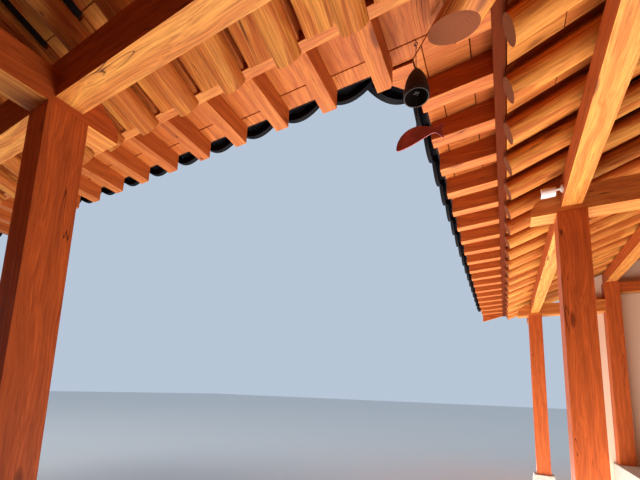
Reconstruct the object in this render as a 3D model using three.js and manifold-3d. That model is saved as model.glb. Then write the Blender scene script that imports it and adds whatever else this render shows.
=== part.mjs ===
// An L-shaped timber house wing with open galleries round the inner corner of a court.
// Units are millimetres, +Z is up. The corner post of the court stands at x = 0, y = 0 while
// the pieces are made. The right wing runs along +Y and the left wing along -X, and each is
// the mirror image of the other across the valley line x + y = 0, apart from its bays.
// The court lies at x < 0, y > 0, and the rooms lie behind the inner posts.
import * as THREE from 'three';
import { mergeVertices } from 'three/addons/utils/BufferGeometryUtils.js';
import Module from 'manifold-3d';

const wasm = await Module();
wasm.setup();

// Plan
const RIGHT_BAYS = [2190, 3605];
const LEFT_BAYS = [2436, 3605];
const GALLERY_DEPTH = 1000;
const HOUSE_DEPTH = 3400;
const GABLE_OVERHANG = 1200;
const FIT = 0.3;
// Joined parts of one piece run this far into each other
const LAP = 2;
// Cutting bodies run past what they cut by this much, and reach up to the sky height
const PAST = 2000;
const SKY = 6000;

// Heights above the ground
const BEAM_LEVEL = 2700;
const TERRACE_TOP = 440;
const BASE_STONE = { side: 300, topSide: 260, height: 180 };

// Timber sections
const POST = 182;
const TIE_BEAM = { width: 124, height: 54 };
const PURLIN_WIDTH = 100;
const CROSS_BEAM = { width: 172, bottom: -41, top: 141, nose: 250 };
// Outline of the nose from its foot up: distance in from the tip, then height
const NOSE = [[4, 14], [20, 48], [50, 78], [72, 84], [95, 112], [118, 141]];
const MAIN_BEAM = { width: 150, bottom: 232, top: 383 };
const INNER_BEAM = { width: 140, bottom: 405 };
const RIDGE_BEAM = { width: 140, height: 160 };
const KING_POST = 120;

// Roof, with heights above the underside of the tie beams
const RAFTER = { diameter: 135, spacing: 330, tip: -397, tipUnderside: 82, sides: 8, overrun: 200 };
const ROOF_SLOPE = 0.374;
const DECK = 30;
const BACK_TIP = 750;
const BACK_EAVE_LIP = 95;
const FLYING = {
  width: 88, tip: -825, underside: 225, top: 350, tail: 50, tailTop: 430, setback: 10, board: 25, lip: 5,
};
const EAVE_BATTEN = { from: -462, height: 36 };
const EAVE_EDGE = { x: -905, bottom: 325, thickness: 105, rise: 8 };
// The tiles' mean surface, a little hollow. The pans lie below it and the rolls stand on it.
const TILE_TOP_AT_RIDGE = 1420;
const TILE_SAG = { x: 600, drop: 45 };
const PAN_DROP = 55;
const ROLL_SECTION = [[-72, -60], [72, -60], [66, 10], [34, 46], [-34, 46], [-66, 10]];
const ROLL_SETBACK = 8;
const ROLL_OFFSET = 80;
// The bed under the ridge and hip caps reaches this far past them
const CAP_BED = 20;
// Place along each wing of one rafter
const FIRST_RIGHT_RAFTER = 1355;
const FIRST_LEFT_RAFTER = 975;
const VALLEY_LOG = { diameter: 170, tip: 705, tipAxis: 165, cut: 190, headroom: 12 };
const HIP_RAFTER = { width: 120, height: 170 };
const RIDGE_CAP = { width: 220, topWidth: 150, height: 190 };
const HIP_CAP = { width: 170, height: 150, setback: 60 };
const SHORTEST_RAFTER = 250;
const RAFTER_GAP = 2;
const DECK_SETBACK = 25;
const DECK_BEDDING = 8;
const GABLE_BOARD = { thickness: 40, above: 30, depth: 330, tipDepth: 220 };
const CUT = 10;

// Walls
const WALL = { thickness: 98, end: 620 };
const TERRACE_EDGE = 130;
const TERRACE_LEDGE = 30;

// Wind bell and camera under the eaves, with heights above the underside of the tie beams
const LINK = { ring: 9, wire: 2, play: 0.5 };
const BELL = { x: -795, y: 745, ring: 338, hookGap: 1, crown: 190, innerRing: 169 };
const BELL_INSIDE = [[0, 174], [12, 172], [26, 160], [38, 142], [47, 118], [52, 92], [57, 62], [55, 37]];
const BELL_OUTSIDE = [
  [59, 37], [62, 50], [61, 72], [56, 96], [51, 120], [42, 144], [31, 165], [18, 184], [9, 191], [0, 192],
];
const STRIKER = { radius: 14, bottom: 60, height: 12 };
const FISH = [
  [-98, -209], [-92, -166], [-76, -143], [-37, -121], [0, -117], [38, -128], [79, -147], [124, -148],
  [124, -219], [101, -190], [77, -177], [47, -184], [20, -194], [-22, -208], [-61, -217], [-90, -219],
];
const FISH_THICKNESS = 4;
const FISH_WIRE_LAP = 20;
// Radius, then the near and far ends measured out from the purlin's face
const EAVE_CAMERA = { y: 2048, z: 112, drop: 14, disc: [28, 0, 16], arm: [9, 8, 50], body: [34, 44, 136] };

const RIDGE_X = (GALLERY_DEPTH + HOUSE_DEPTH) / 2;
const ROOF_WIDTH = 2 * RIDGE_X;
const backTip = GALLERY_DEPTH - BACK_TIP;
const backEdge = backTip - BACK_EAVE_LIP;
const valleyClear = VALLEY_LOG.diameter / 2 + FIT;
const RAFTER_RISE = RAFTER.diameter * Math.hypot(1, ROOF_SLOPE);
const HALF_POST = POST / 2;

// Undersides of the round rafters and of the deck, at a distance x in from the court beam
const rafterUnderside = (x) => RAFTER.tipUnderside + ROOF_SLOPE * (x - RAFTER.tip);
const deckUnderside = (x) => rafterUnderside(x) + RAFTER_RISE;
const deckTop = (x) => deckUnderside(x) + DECK;

const COLOURS = {
  timber: { color: 0xc0602c, roughness: 0.7, metalness: 0 },
  paleTimber: { color: 0xd98a4c, roughness: 0.7, metalness: 0 },
  plaster: { color: 0xc99a72, roughness: 0.9, metalness: 0 },
  stone: { color: 0xb9b0a4, roughness: 0.9, metalness: 0 },
  tile: { color: 0x23262b, roughness: 0.6, metalness: 0 },
  darkMetal: { color: 0x1d1b1a, roughness: 0.5, metalness: 0.8 },
  copper: { color: 0x7a3b2a, roughness: 0.5, metalness: 0.8 },
  whitePlastic: { color: 0xe8e6e2, roughness: 0.4, metalness: 0 },
};

const group = new THREE.Group();
const building = new THREE.Group();
group.add(building);

// Closed geometry in and out of the solid joiner
function solid(geometry) {
  const bare = geometry.clone();
  bare.deleteAttribute('normal');
  bare.deleteAttribute('uv');
  const merged = mergeVertices(bare, 1e-3);
  return new wasm.Manifold(new wasm.Mesh({
    numProp: 3,
    vertProperties: new Float32Array(merged.attributes.position.array),
    triVerts: new Uint32Array(merged.index.array),
  }));
}

function geometryOf(body) {
  const mesh = body.getMesh();
  const geometry = new THREE.BufferGeometry();
  geometry.setAttribute('position', new THREE.BufferAttribute(new Float32Array(mesh.vertProperties), 3));
  geometry.setIndex(new THREE.BufferAttribute(new Uint32Array(mesh.triVerts), 1));
  return geometry;
}

function reflected(body, mirror) {
  const geometry = geometryOf(body);
  geometry.applyMatrix4(mirror);
  const index = geometry.index.array;
  for (let i = 0; i < index.length; i += 3) {
    const second = index[i + 1];
    index[i + 1] = index[i + 2];
    index[i + 2] = second;
  }
  return solid(geometry);
}

// The same shape in the left wing: reflected across the line x + y = 0
const LEFT_MIRROR = new THREE.Matrix4().set(0, -1, 0, 0, -1, 0, 0, 0, 0, 0, 1, 0, 0, 0, 0, 1);
const toLeft = (body) => reflected(body, LEFT_MIRROR);

// The same shape on the far side of the ridge
const BACK_MIRROR = new THREE.Matrix4().makeTranslation(ROOF_WIDTH, 0, 0).scale(new THREE.Vector3(-1, 1, 1));
const toBack = (body) => reflected(body, BACK_MIRROR);

function addMesh(name, body, look) {
  const geometry = geometryOf(body);
  geometry.computeVertexNormals();
  const material = new THREE.MeshStandardMaterial({ ...COLOURS[look], flatShading: true });
  const mesh = new THREE.Mesh(geometry, material);
  mesh.name = name;
  building.add(mesh);
}

const join = (bodies) => bodies.reduce((all, body) => all.add(body));

function box(x0, x1, y0, y1, z0, z1) {
  const geometry = new THREE.BoxGeometry(x1 - x0, y1 - y0, z1 - z0);
  geometry.translate((x0 + x1) / 2, (y0 + y1) / 2, (z0 + z1) / 2);
  return solid(geometry);
}

// An outline in x and z, run along y
function alongY(outline, y0, y1) {
  const shape = new THREE.Shape(outline.map(([x, z]) => new THREE.Vector2(x, z)));
  const geometry = new THREE.ExtrudeGeometry(shape, { depth: y1 - y0, bevelEnabled: false });
  geometry.rotateX(Math.PI / 2);
  geometry.translate(0, y1, 0);
  return solid(geometry);
}

// An outline in x and y, run upward
function upward(outline, z0, z1) {
  const shape = new THREE.Shape(outline.map(([x, y]) => new THREE.Vector2(x, y)));
  const geometry = new THREE.ExtrudeGeometry(shape, { depth: z1 - z0, bevelEnabled: false });
  geometry.translate(0, 0, z0);
  return solid(geometry);
}

// A beam on the diagonal x = -y = s, with its outline given in s and z
function onDiagonal(outline, width) {
  const shape = new THREE.Shape(outline.map(([s, z]) => new THREE.Vector2(s * Math.SQRT2, z)));
  const geometry = new THREE.ExtrudeGeometry(shape, { depth: width, bevelEnabled: false });
  geometry.translate(0, 0, -width / 2);
  geometry.rotateX(Math.PI / 2);
  geometry.rotateZ(-Math.PI / 4);
  return solid(geometry);
}

const level = (outline) => outline.map(([x, z]) => [x, z + BEAM_LEVEL]);

// Everything that lies past a line parallel to the valley, by its distance from it
function beyondValley(gap, length) {
  const g = gap * Math.SQRT2;
  const far = length + PAST;
  const inside = ROOF_WIDTH + PAST;
  return upward([[-far, far + g], [inside, g - inside], [inside, far + g]], 0, SKY);
}

const postLines = (bays) => [bays[0], bays[0] + bays[1]];
const wingEnd = (bays) => bays[0] + bays[1] + GABLE_OVERHANG;

// Posts and their stones
function post(x, y, bottom, top) {
  return box(x - HALF_POST, x + HALF_POST, y - HALF_POST, y + HALF_POST, bottom, top);
}

function baseStone(x, y) {
  const radius = (side) => side / Math.SQRT2;
  const { side, topSide, height } = BASE_STONE;
  const geometry = new THREE.CylinderGeometry(radius(topSide), radius(side), height, 4);
  geometry.rotateY(Math.PI / 4);
  geometry.rotateX(Math.PI / 2);
  geometry.translate(x, y, height / 2);
  return solid(geometry);
}

const outerPost = (y) => post(0, y, BASE_STONE.height + FIT, BEAM_LEVEL + CROSS_BEAM.bottom - FIT);
const innerPost = (x, y) => post(x, y, TERRACE_TOP + FIT, BEAM_LEVEL + INNER_BEAM.bottom - FIT);

// Beams. A cross-beam ends over the court in a nose cut in three steps.
function noseOutline(inner) {
  const { bottom, top, nose } = CROSS_BEAM;
  const steps = NOSE.map(([fromTip, height]) => [fromTip - nose, height]);
  return level([[inner, bottom], [-nose, bottom], ...steps, [inner, top]]);
}

function crossBeam(y) {
  const half = CROSS_BEAM.width / 2;
  return alongY(noseOutline(GALLERY_DEPTH - HALF_POST - FIT), y - half, y + half);
}

function cornerCrossBeam() {
  const beam = onDiagonal(noseOutline(GALLERY_DEPTH), CROSS_BEAM.width);
  return beam.subtract(grownPost(GALLERY_DEPTH, -GALLERY_DEPTH));
}

function grownPost(x, y) {
  const half = HALF_POST + FIT;
  return box(x - half, x + half, y - half, y + half, 0, SKY);
}

// The corner beam with room round it, for what ends against it
function cornerBeamRoom() {
  const { width, bottom, top, nose } = CROSS_BEAM;
  const outline = level([[-nose, bottom - FIT], [GALLERY_DEPTH, bottom - FIT],
    [GALLERY_DEPTH, top + FIT], [-nose, top + FIT]]);
  return onDiagonal(outline, width + 2 * FIT);
}

function tieBeam(y0, y1, fromCorner) {
  const half = TIE_BEAM.width / 2;
  const side = CROSS_BEAM.width / 2 + FIT;
  const top = BEAM_LEVEL + TIE_BEAM.height - FIT;
  const beam = box(-half, half, fromCorner ? y0 : y0 + side, y1 - side, BEAM_LEVEL, top);
  return fromCorner ? beam.subtract(cornerBeamRoom()).intersect(beyondValley(FIT, y1)) : beam;
}

function slantedBeam(x, width, bottom, y0, y1) {
  const [a, b] = [x - width / 2, x + width / 2];
  const under = (at) => rafterUnderside(at <= RIDGE_X ? at : ROOF_WIDTH - at) - FIT;
  return alongY(level([[a, bottom], [b, bottom], [b, under(b)], [a, under(a)]]), y0, y1);
}

function eavePurlin(bays) {
  const { width, bottom, top } = CROSS_BEAM;
  const beam = slantedBeam(0, PURLIN_WIDTH, TIE_BEAM.height, -PURLIN_WIDTH, wingEnd(bays) - FIT);
  const notches = postLines(bays).map((y) => box(-PURLIN_WIDTH, PURLIN_WIDTH, y - width / 2 - FIT,
    y + width / 2 + FIT, BEAM_LEVEL + bottom, BEAM_LEVEL + top + FIT));
  return beam
    .subtract(join([...notches, cornerBeamRoom(), valleyLogRoom()]))
    .intersect(beyondValley(FIT / 2, wingEnd(bays)));
}

function innerBeam(bays) {
  return slantedBeam(GALLERY_DEPTH, INNER_BEAM.width, INNER_BEAM.bottom, -RIDGE_X, wingEnd(bays) - FIT)
    .subtract(valleyLogRoom())
    .intersect(beyondValley(FIT / 2, wingEnd(bays)));
}

// The frame that carries the ridge: main beams, king posts and ridge beams
function ridgeFrame(bays) {
  const { width, bottom, top } = MAIN_BEAM;
  const [half, king] = [width / 2, KING_POST / 2];
  const ridgeBottom = rafterUnderside(RIDGE_X) - RIDGE_BEAM.height;
  const from = GALLERY_DEPTH + HALF_POST + FIT;
  const to = HOUSE_DEPTH - HALF_POST - FIT;
  const frames = postLines(bays).map((y) => join([
    box(from, to, y - half, y + half, BEAM_LEVEL + bottom, BEAM_LEVEL + top),
    box(RIDGE_X - king, RIDGE_X + king, y - king, y + king, BEAM_LEVEL + top - LAP,
      BEAM_LEVEL + ridgeBottom + LAP),
  ]));
  const [a, b] = [RIDGE_X - RIDGE_BEAM.width / 2, RIDGE_X + RIDGE_BEAM.width / 2];
  const side = rafterUnderside(a) - FIT;
  const ridge = alongY(level([[a, ridgeBottom], [b, ridgeBottom], [b, side],
    [RIDGE_X, rafterUnderside(RIDGE_X) - FIT], [a, side]]), -RIDGE_X, wingEnd(bays) - FIT);
  return join([...frames, ridge]);
}

function cornerFrame() {
  const { width, bottom, top } = MAIN_BEAM;
  const king = KING_POST / 2;
  const ridgeBottom = rafterUnderside(RIDGE_X) - RIDGE_BEAM.height;
  const beam = onDiagonal(level([[GALLERY_DEPTH, bottom], [HOUSE_DEPTH, bottom], [HOUSE_DEPTH, top],
    [GALLERY_DEPTH, top]]), width);
  const kingPost = box(RIDGE_X - king, RIDGE_X + king, -RIDGE_X - king, -RIDGE_X + king,
    BEAM_LEVEL + top - LAP, BEAM_LEVEL + ridgeBottom + LAP);
  return join([beam, kingPost])
    .subtract(grownPost(GALLERY_DEPTH, -GALLERY_DEPTH))
    .subtract(grownPost(HOUSE_DEPTH, -HOUSE_DEPTH));
}

// The back posts and the beam that they carry
function backFrame(bays) {
  const posts = [-HOUSE_DEPTH, ...postLines(bays)].map((y) => post(HOUSE_DEPTH, y, TERRACE_TOP + FIT,
    BEAM_LEVEL + INNER_BEAM.bottom + LAP));
  const beam = slantedBeam(HOUSE_DEPTH, INNER_BEAM.width, INNER_BEAM.bottom,
    -HOUSE_DEPTH - INNER_BEAM.width / 2, wingEnd(bays) - FIT);
  return join([...posts, beam.intersect(backRegion(bays, 0))]);
}

// Rafters under their deck. The court side ends at the valley log, the back at the hip rafter.
function rafterRow(bays, first, tip, lowest) {
  const radius = RAFTER.diameter / 2;
  const run = (RIDGE_X - tip) * Math.hypot(1, ROOF_SLOPE) + RAFTER.overrun;
  const start = first - Math.floor((first - lowest) / RAFTER.spacing) * RAFTER.spacing;
  const rows = [];
  for (let y = start; y < wingEnd(bays) - radius; y += RAFTER.spacing) {
    const geometry = new THREE.CylinderGeometry(radius, radius, run, RAFTER.sides);
    geometry.rotateY(Math.PI / RAFTER.sides);
    geometry.rotateZ(-Math.PI / 2);
    geometry.translate(run / 2, 0, radius);
    geometry.rotateY(-Math.atan(ROOF_SLOPE));
    geometry.translate(tip, y, BEAM_LEVEL + rafterUnderside(tip));
    rows.push(solid(geometry));
  }
  return join(rows).intersect(box(-PAST, RIDGE_X - RAFTER_GAP, lowest, wingEnd(bays), 0, SKY));
}

function deck(bays, from) {
  const to = RIDGE_X - FIT / 2;
  const under = (x) => deckUnderside(x) - DECK_BEDDING;
  return alongY(level([[from, under(from)], [to, under(to)], [to, deckTop(to)], [from, deckTop(from)]]),
    -ROOF_WIDTH, wingEnd(bays));
}

function courtRafters(bays, first) {
  const end = wingEnd(bays);
  const rafters = rafterRow(bays, first, RAFTER.tip, SHORTEST_RAFTER - RIDGE_X)
    .intersect(beyondValley(valleyClear, end));
  const boards = deck(bays, RAFTER.tip + DECK_SETBACK).intersect(beyondValley(FIT / 2, end));
  return rafters.add(boards.subtract(valleyLogRoom()));
}

function backRegion(bays, gap) {
  const g = gap * Math.SQRT2;
  const end = wingEnd(bays);
  const far = 3 * ROOF_WIDTH;
  const outline = [[RIDGE_X + FIT / 2, -RIDGE_X + g], [far, -far + g], [far, end], [RIDGE_X + FIT / 2, end]];
  return upward(outline, 0, SKY);
}

function backRafters(bays, first) {
  const rafters = toBack(rafterRow(bays, first, backTip, backTip - ROOF_WIDTH + SHORTEST_RAFTER));
  return rafters
    .intersect(backRegion(bays, HIP_RAFTER.width / 2 + FIT))
    .add(toBack(deck(bays, backTip + DECK_SETBACK)).intersect(backRegion(bays, FIT / 2)));
}

// Square flying rafters on the ends of the round ones, with their batten and boards
function flyingRafters(bays, first) {
  const end = wingEnd(bays);
  const { width, tip, underside, top, tail, tailTop, setback, board, lip } = FLYING;
  const edge = RAFTER.tip + DECK_SETBACK;
  const rear = tail - setback;
  const outline = level([[tip, underside], [edge, deckTop(edge) + FIT], [rear, deckTop(rear) + FIT],
    [rear, tailTop + LAP], [tip, top + LAP]]);
  const rows = [];
  for (let y = first - 9 * RAFTER.spacing; y < end - width / 2; y += RAFTER.spacing) {
    rows.push(alongY(outline, y - width / 2, y + width / 2));
  }
  const { from, height } = EAVE_BATTEN;
  const batten = alongY(level([[from, deckUnderside(edge)], [edge - FIT, deckUnderside(edge)],
    [edge - FIT, deckTop(edge) + height], [from, deckTop(edge) + height]]), -RIDGE_X, end);
  const boards = alongY(level([[tip - lip, top], [tail, tailTop], [tail, tailTop + board],
    [tip - lip, top + board]]), -RIDGE_X, end);
  return join([...rows, batten]).intersect(beyondValley(valleyClear, end))
    .add(boards.intersect(beyondValley(FIT / 2, end)));
}

// The log under the valley: nearly level outside the corner post, then as steep as the roof,
// with its tip cut on the slant
const LOG_SIDES = 12;
const logRadius = VALLEY_LOG.diameter / 2;
const logAxisAt = (s) => deckUnderside(s) - logRadius - VALLEY_LOG.headroom;
const logEnd = RIDGE_X - RIDGE_BEAM.width / 2 - FIT;

function valleyLogBody(radius) {
  const outer = -VALLEY_LOG.tip;
  const inner = logEnd + radius;
  const lift = [VALLEY_LOG.tipAxis, logAxisAt(0), logAxisAt(inner)];
  const geometry = new THREE.CylinderGeometry(radius, radius, 2, LOG_SIDES, 2);
  geometry.rotateY(Math.PI / LOG_SIDES);
  geometry.rotateZ(-Math.PI / 2);
  const points = geometry.attributes.position;
  for (let i = 0; i < points.count; i += 1) {
    const ring = Math.round(points.getX(i)) + 1;
    points.setX(i, [outer, 0, inner][ring] * Math.SQRT2);
    points.setZ(i, points.getZ(i) + BEAM_LEVEL + lift[ring]);
  }
  geometry.rotateZ(-Math.PI / 4);
  return solid(geometry);
}

function valleyLog() {
  const { tip, tipAxis, cut, headroom } = VALLEY_LOG;
  const [low, high] = [tipAxis - logRadius, tipAxis + logRadius];
  const keep = onDiagonal(level([[cut - tip, low], [-tip, high], [-tip, PAST], [RIDGE_X, PAST],
    [RIDGE_X, low - headroom], [cut - tip, low - headroom]]), 2 * VALLEY_LOG.diameter);
  return valleyLogBody(logRadius).intersect(keep).intersect(box(-PAST, logEnd, -logEnd, PAST, 0, SKY));
}

const valleyLogRoom = () => valleyLogBody(logRadius + FIT);

// The square rafter under the hip
function hipOutline(extra) {
  const drop = (HIP_RAFTER.width / 2 / Math.SQRT2) * ROOF_SLOPE + LAP;
  const under = (s) => deckUnderside(ROOF_WIDTH - s) - DECK_BEDDING - drop;
  const [a, b] = [RIDGE_X + RIDGE_BEAM.width / 2 + RAFTER_GAP, ROOF_WIDTH - backTip];
  return level([[a, under(a) - HIP_RAFTER.height - extra], [b, under(b) - HIP_RAFTER.height - extra],
    [b, under(b) + extra], [a, under(a) + extra]]);
}

const hipRafter = () => onDiagonal(hipOutline(0), HIP_RAFTER.width);
const hipRoom = () => onDiagonal(hipOutline(FIT), HIP_RAFTER.width + 2 * FIT);

// Tiled covering of one slope, a little hollow between eave and ridge
function tileTopAt(x) {
  const { x: edge, bottom, thickness } = EAVE_EDGE;
  const edgeTop = bottom + thickness;
  const straight = (u) => edgeTop + (TILE_TOP_AT_RIDGE - edgeTop) * (u - edge) / (RIDGE_X - edge);
  const hollow = x < TILE_SAG.x ? (x - edge) / (TILE_SAG.x - edge) : (RIDGE_X - x) / (RIDGE_X - TILE_SAG.x);
  return straight(x) - TILE_SAG.drop * hollow;
}

const bedEdge = RIDGE_X - RIDGE_CAP.width / 2 - CAP_BED;

function slopeSection(under, from) {
  return level([...under, ...[RIDGE_X - FIT / 2, TILE_SAG.x, from].map((x) => [x, tileTopAt(x)])]);
}

// What is taken off the mean surface to leave the pans, from the slope's edge to the ridge's bed
function overPans(from, end) {
  const places = [from - CUT, TILE_SAG.x, bedEdge];
  const low = places.map((x) => [x, tileTopAt(x) - PAN_DROP]);
  const high = places.map((x) => [x, tileTopAt(x) + CUT]).reverse();
  return alongY(level([...low, ...high]), -2 * ROOF_WIDTH - CUT, end + CUT);
}

// One roll of cover tiles, from the edge of the slope up to the ridge cap
function tileRoll(y, from) {
  const shape = new THREE.Shape(ROLL_SECTION.map(([across, up]) => new THREE.Vector2(across, up)));
  const geometry = new THREE.ExtrudeGeometry(shape, { depth: 2, steps: 2, bevelEnabled: false });
  const places = [from + ROLL_SETBACK, TILE_SAG.x, RIDGE_X - (RIDGE_CAP.width + CAP_BED) / 2];
  const points = geometry.attributes.position;
  for (let i = 0; i < points.count; i += 1) {
    const x = places[Math.round(points.getZ(i))];
    points.setXYZ(i, x, y + points.getX(i), BEAM_LEVEL + tileTopAt(x) + points.getY(i));
  }
  return solid(geometry);
}

// Rolls as far apart as the rafters, from a lowest place along the wing to the gable
function tileRolls(bays, first, from, lowest) {
  const { spacing } = RAFTER;
  const beside = first + ROLL_OFFSET;
  const start = beside - Math.floor((beside - lowest) / spacing) * spacing;
  const end = wingEnd(bays) - ROLL_SECTION[1][0];
  const rolls = [];
  for (let y = start; y < end; y += spacing) rolls.push(tileRoll(y, from));
  return join(rolls);
}

function courtTiles(bays, first) {
  const end = wingEnd(bays);
  const { tip, tail, top, tailTop, board, lip } = FLYING;
  const { x: edge, bottom, rise } = EAVE_EDGE;
  const front = tip - lip - FIT;
  const rear = tail + FIT;
  const under = [
    [edge, bottom], [front, bottom + rise], [front, top + board + FIT], [rear, tailTop + board + FIT],
    [rear, deckTop(rear) + FIT], [RIDGE_X - FIT / 2, deckTop(RIDGE_X) + FIT],
  ];
  return alongY(slopeSection(under, edge), -RIDGE_X, end)
    .subtract(overPans(edge, end))
    .add(tileRolls(bays, first, edge, -RIDGE_X))
    .intersect(beyondValley(FIT / 2, end));
}

// The back slope keeps its bed under the hip cap as well
function backTiles(bays, first) {
  const end = wingEnd(bays);
  const board = backTip + DECK_SETBACK - FIT;
  const under = [[backEdge, deckUnderside(board)], [board, deckUnderside(board)],
    [board, deckTop(board) + FIT], [RIDGE_X - FIT / 2, deckTop(RIDGE_X) + FIT]];
  const cut = toBack(overPans(backEdge, end)).intersect(backRegion(bays, HIP_CAP.width / 2 + CAP_BED));
  const rolls = toBack(tileRolls(bays, first, backEdge, -ROOF_WIDTH))
    .intersect(backRegion(bays, (HIP_CAP.width + CAP_BED) / 2));
  return toBack(alongY(slopeSection(under, backEdge), -2 * ROOF_WIDTH, end))
    .intersect(backRegion(bays, FIT / 2))
    .subtract(cut)
    .add(rolls);
}

// Ridge caps of stacked tiles, wider at the foot
function ridgeCap(bays) {
  const half = RIDGE_CAP.width / 2;
  const topHalf = RIDGE_CAP.topWidth / 2;
  const seat = TILE_TOP_AT_RIDGE + FIT;
  const crest = seat + RIDGE_CAP.height;
  const end = wingEnd(bays) + GABLE_BOARD.thickness;
  return alongY(level([[RIDGE_X - half, seat], [RIDGE_X + half, seat], [RIDGE_X + topHalf, crest],
    [RIDGE_X - topHalf, crest]]), -RIDGE_X - half, end).intersect(beyondValley(FIT / 2, end));
}

function hipCap() {
  const places = [RIDGE_X + RIDGE_CAP.width / 2 + FIT, ROOF_WIDTH - TILE_SAG.x,
    ROOF_WIDTH - backEdge - HIP_CAP.setback];
  const seat = places.map((s) => [s, tileTopAt(ROOF_WIDTH - s) + FIT]);
  const crest = seat.map(([s, z]) => [s, z + HIP_CAP.height]).reverse();
  return onDiagonal(level([...seat, ...crest]), HIP_CAP.width);
}

// Boards that close the gables, following both slopes
function gableBoard(bays) {
  const end = wingEnd(bays) + FIT;
  const { thickness, above, depth, tipDepth } = GABLE_BOARD;
  const { tip, top, tail, tailTop, board } = FLYING;
  const crest = deckTop(RIDGE_X) + above;
  const backTop = deckTop(backTip) + above;
  const back = ROOF_WIDTH - backTip;
  const outline = level([[tip, top + board], [tip, top + board - tipDepth], [RIDGE_X, crest - depth],
    [back, backTop - tipDepth], [back, backTop], [RIDGE_X, crest], [tail, tailTop + board]]);
  return alongY(outline, end, end + thickness);
}

// Plastered walls outside the back posts, with the gable carried up to the rafters
function outerWall(bays, ownsCorner) {
  const gable = postLines(bays)[1] + HALF_POST + FIT;
  const inside = HOUSE_DEPTH + HALF_POST + FIT;
  const outside = inside + WALL.thickness;
  const foot = TERRACE_TOP + FIT;
  const under = (x) => BEAM_LEVEL + rafterUnderside(x <= RIDGE_X ? x : ROOF_WIDTH - x) - FIT;
  const step = GALLERY_DEPTH - TERRACE_EDGE - FIT;
  const gableOutline = [[WALL.end, 0], [step, 0], [step, foot], [outside, foot], [outside, under(outside)],
    [RIDGE_X, under(RIDGE_X)], [WALL.end, under(WALL.end)]];
  const corner = ownsCorner ? -outside : -inside + FIT;
  const backWall = alongY([[inside, foot], [outside, foot], [outside, under(outside)],
    [inside, under(inside)]], corner, gable + LAP);
  const beamTop = rafterUnderside(GALLERY_DEPTH + INNER_BEAM.width / 2);
  const beams = [
    [GALLERY_DEPTH, INNER_BEAM.width, INNER_BEAM.bottom, beamTop],
    [RIDGE_X, RIDGE_BEAM.width, rafterUnderside(RIDGE_X) - RIDGE_BEAM.height, rafterUnderside(RIDGE_X)],
    [HOUSE_DEPTH, INNER_BEAM.width, INNER_BEAM.bottom, beamTop],
  ].map(([x, width, bottom, top]) => box(x - width / 2 - FIT, x + width / 2 + FIT, gable - CUT,
    gable + WALL.thickness + CUT, BEAM_LEVEL + bottom - FIT, BEAM_LEVEL + top + CUT));
  return join([alongY(gableOutline, gable, gable + WALL.thickness), backWall])
    .subtract(join([...beams, hipRoom()]));
}

// The raised stone floor of the rooms
function terrace() {
  const edge = GALLERY_DEPTH - TERRACE_EDGE;
  const past = HALF_POST + WALL.thickness + TERRACE_LEDGE;
  const back = HOUSE_DEPTH + past;
  const right = postLines(RIGHT_BAYS)[1] + past;
  const left = -postLines(LEFT_BAYS)[1] - past;
  return upward([[edge, right], [back, right], [back, -back], [left, -back], [left, -edge], [edge, -edge]],
    0, TERRACE_TOP);
}

// Wind bell: a ring in the eave boards, the bell with its wire, and the fish plate on the clapper rod.
// Each hangs by an eye that crosses the ring above it.
const eyeDrop = LINK.ring + 2 * LINK.wire + LINK.play;
const atBell = (geometry, z) => geometry.translate(BELL.x, BELL.y, BEAM_LEVEL + z);

function linkRing(z, turned) {
  const geometry = new THREE.TorusGeometry(LINK.ring, LINK.wire, 6, 12);
  if (turned) geometry.rotateY(Math.PI / 2);
  else geometry.rotateX(Math.PI / 2);
  return solid(atBell(geometry, z));
}

function uprightWire(z0, z1) {
  const geometry = new THREE.CylinderGeometry(LINK.wire, LINK.wire, z1 - z0, 6);
  geometry.rotateX(Math.PI / 2);
  return solid(atBell(geometry, (z0 + z1) / 2));
}

function bellHook() {
  const boards = FLYING.top + (FLYING.tailTop - FLYING.top)
    * (-BELL.y - FLYING.tip + FLYING.lip) / (FLYING.tail - FLYING.tip + FLYING.lip);
  return linkRing(BELL.ring, false).add(uprightWire(BELL.ring + LINK.ring, boards - BELL.hookGap));
}

function windBell() {
  const eye = BELL.ring - eyeDrop;
  const profile = [...BELL_INSIDE, ...BELL_OUTSIDE].map(([radius, z]) => new THREE.Vector2(radius, z));
  const geometry = new THREE.LatheGeometry(profile, 16);
  geometry.rotateX(Math.PI / 2);
  const shell = solid(atBell(geometry, 0));
  const wire = uprightWire(BELL.crown, eye - LINK.ring);
  return join([shell, linkRing(eye, true), wire, linkRing(BELL.innerRing, false)]);
}

function fishPlate() {
  const eye = BELL.innerRing - eyeDrop;
  const { radius, bottom, height } = STRIKER;
  const striker = new THREE.CylinderGeometry(radius, radius, height, 10);
  striker.rotateX(Math.PI / 2);
  const plate = alongY(FISH.map(([x, z]) => [x + BELL.x, z + BEAM_LEVEL]), BELL.y - FISH_THICKNESS / 2,
    BELL.y + FISH_THICKNESS / 2);
  const low = FISH.find(([x]) => x === 0)[1];
  return join([linkRing(eye, true), uprightWire(low - FISH_WIRE_LAP, eye - LINK.ring), plate,
    solid(atBell(striker, bottom + height / 2))]);
}

// Small round camera on the side of the eave purlin: disc, arm and body
function eaveCamera() {
  const { y, z, drop, disc, arm, body } = EAVE_CAMERA;
  const face = -PURLIN_WIDTH / 2 - FIT;
  const round = ([radius, near, far], height) => {
    const geometry = new THREE.CylinderGeometry(radius, radius, far - near, 12);
    geometry.rotateZ(Math.PI / 2);
    geometry.translate(face - (near + far) / 2, y, BEAM_LEVEL + height);
    return solid(geometry);
  };
  return join([round(disc, z), round(arm, z), round(body, z - drop)]);
}

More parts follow.
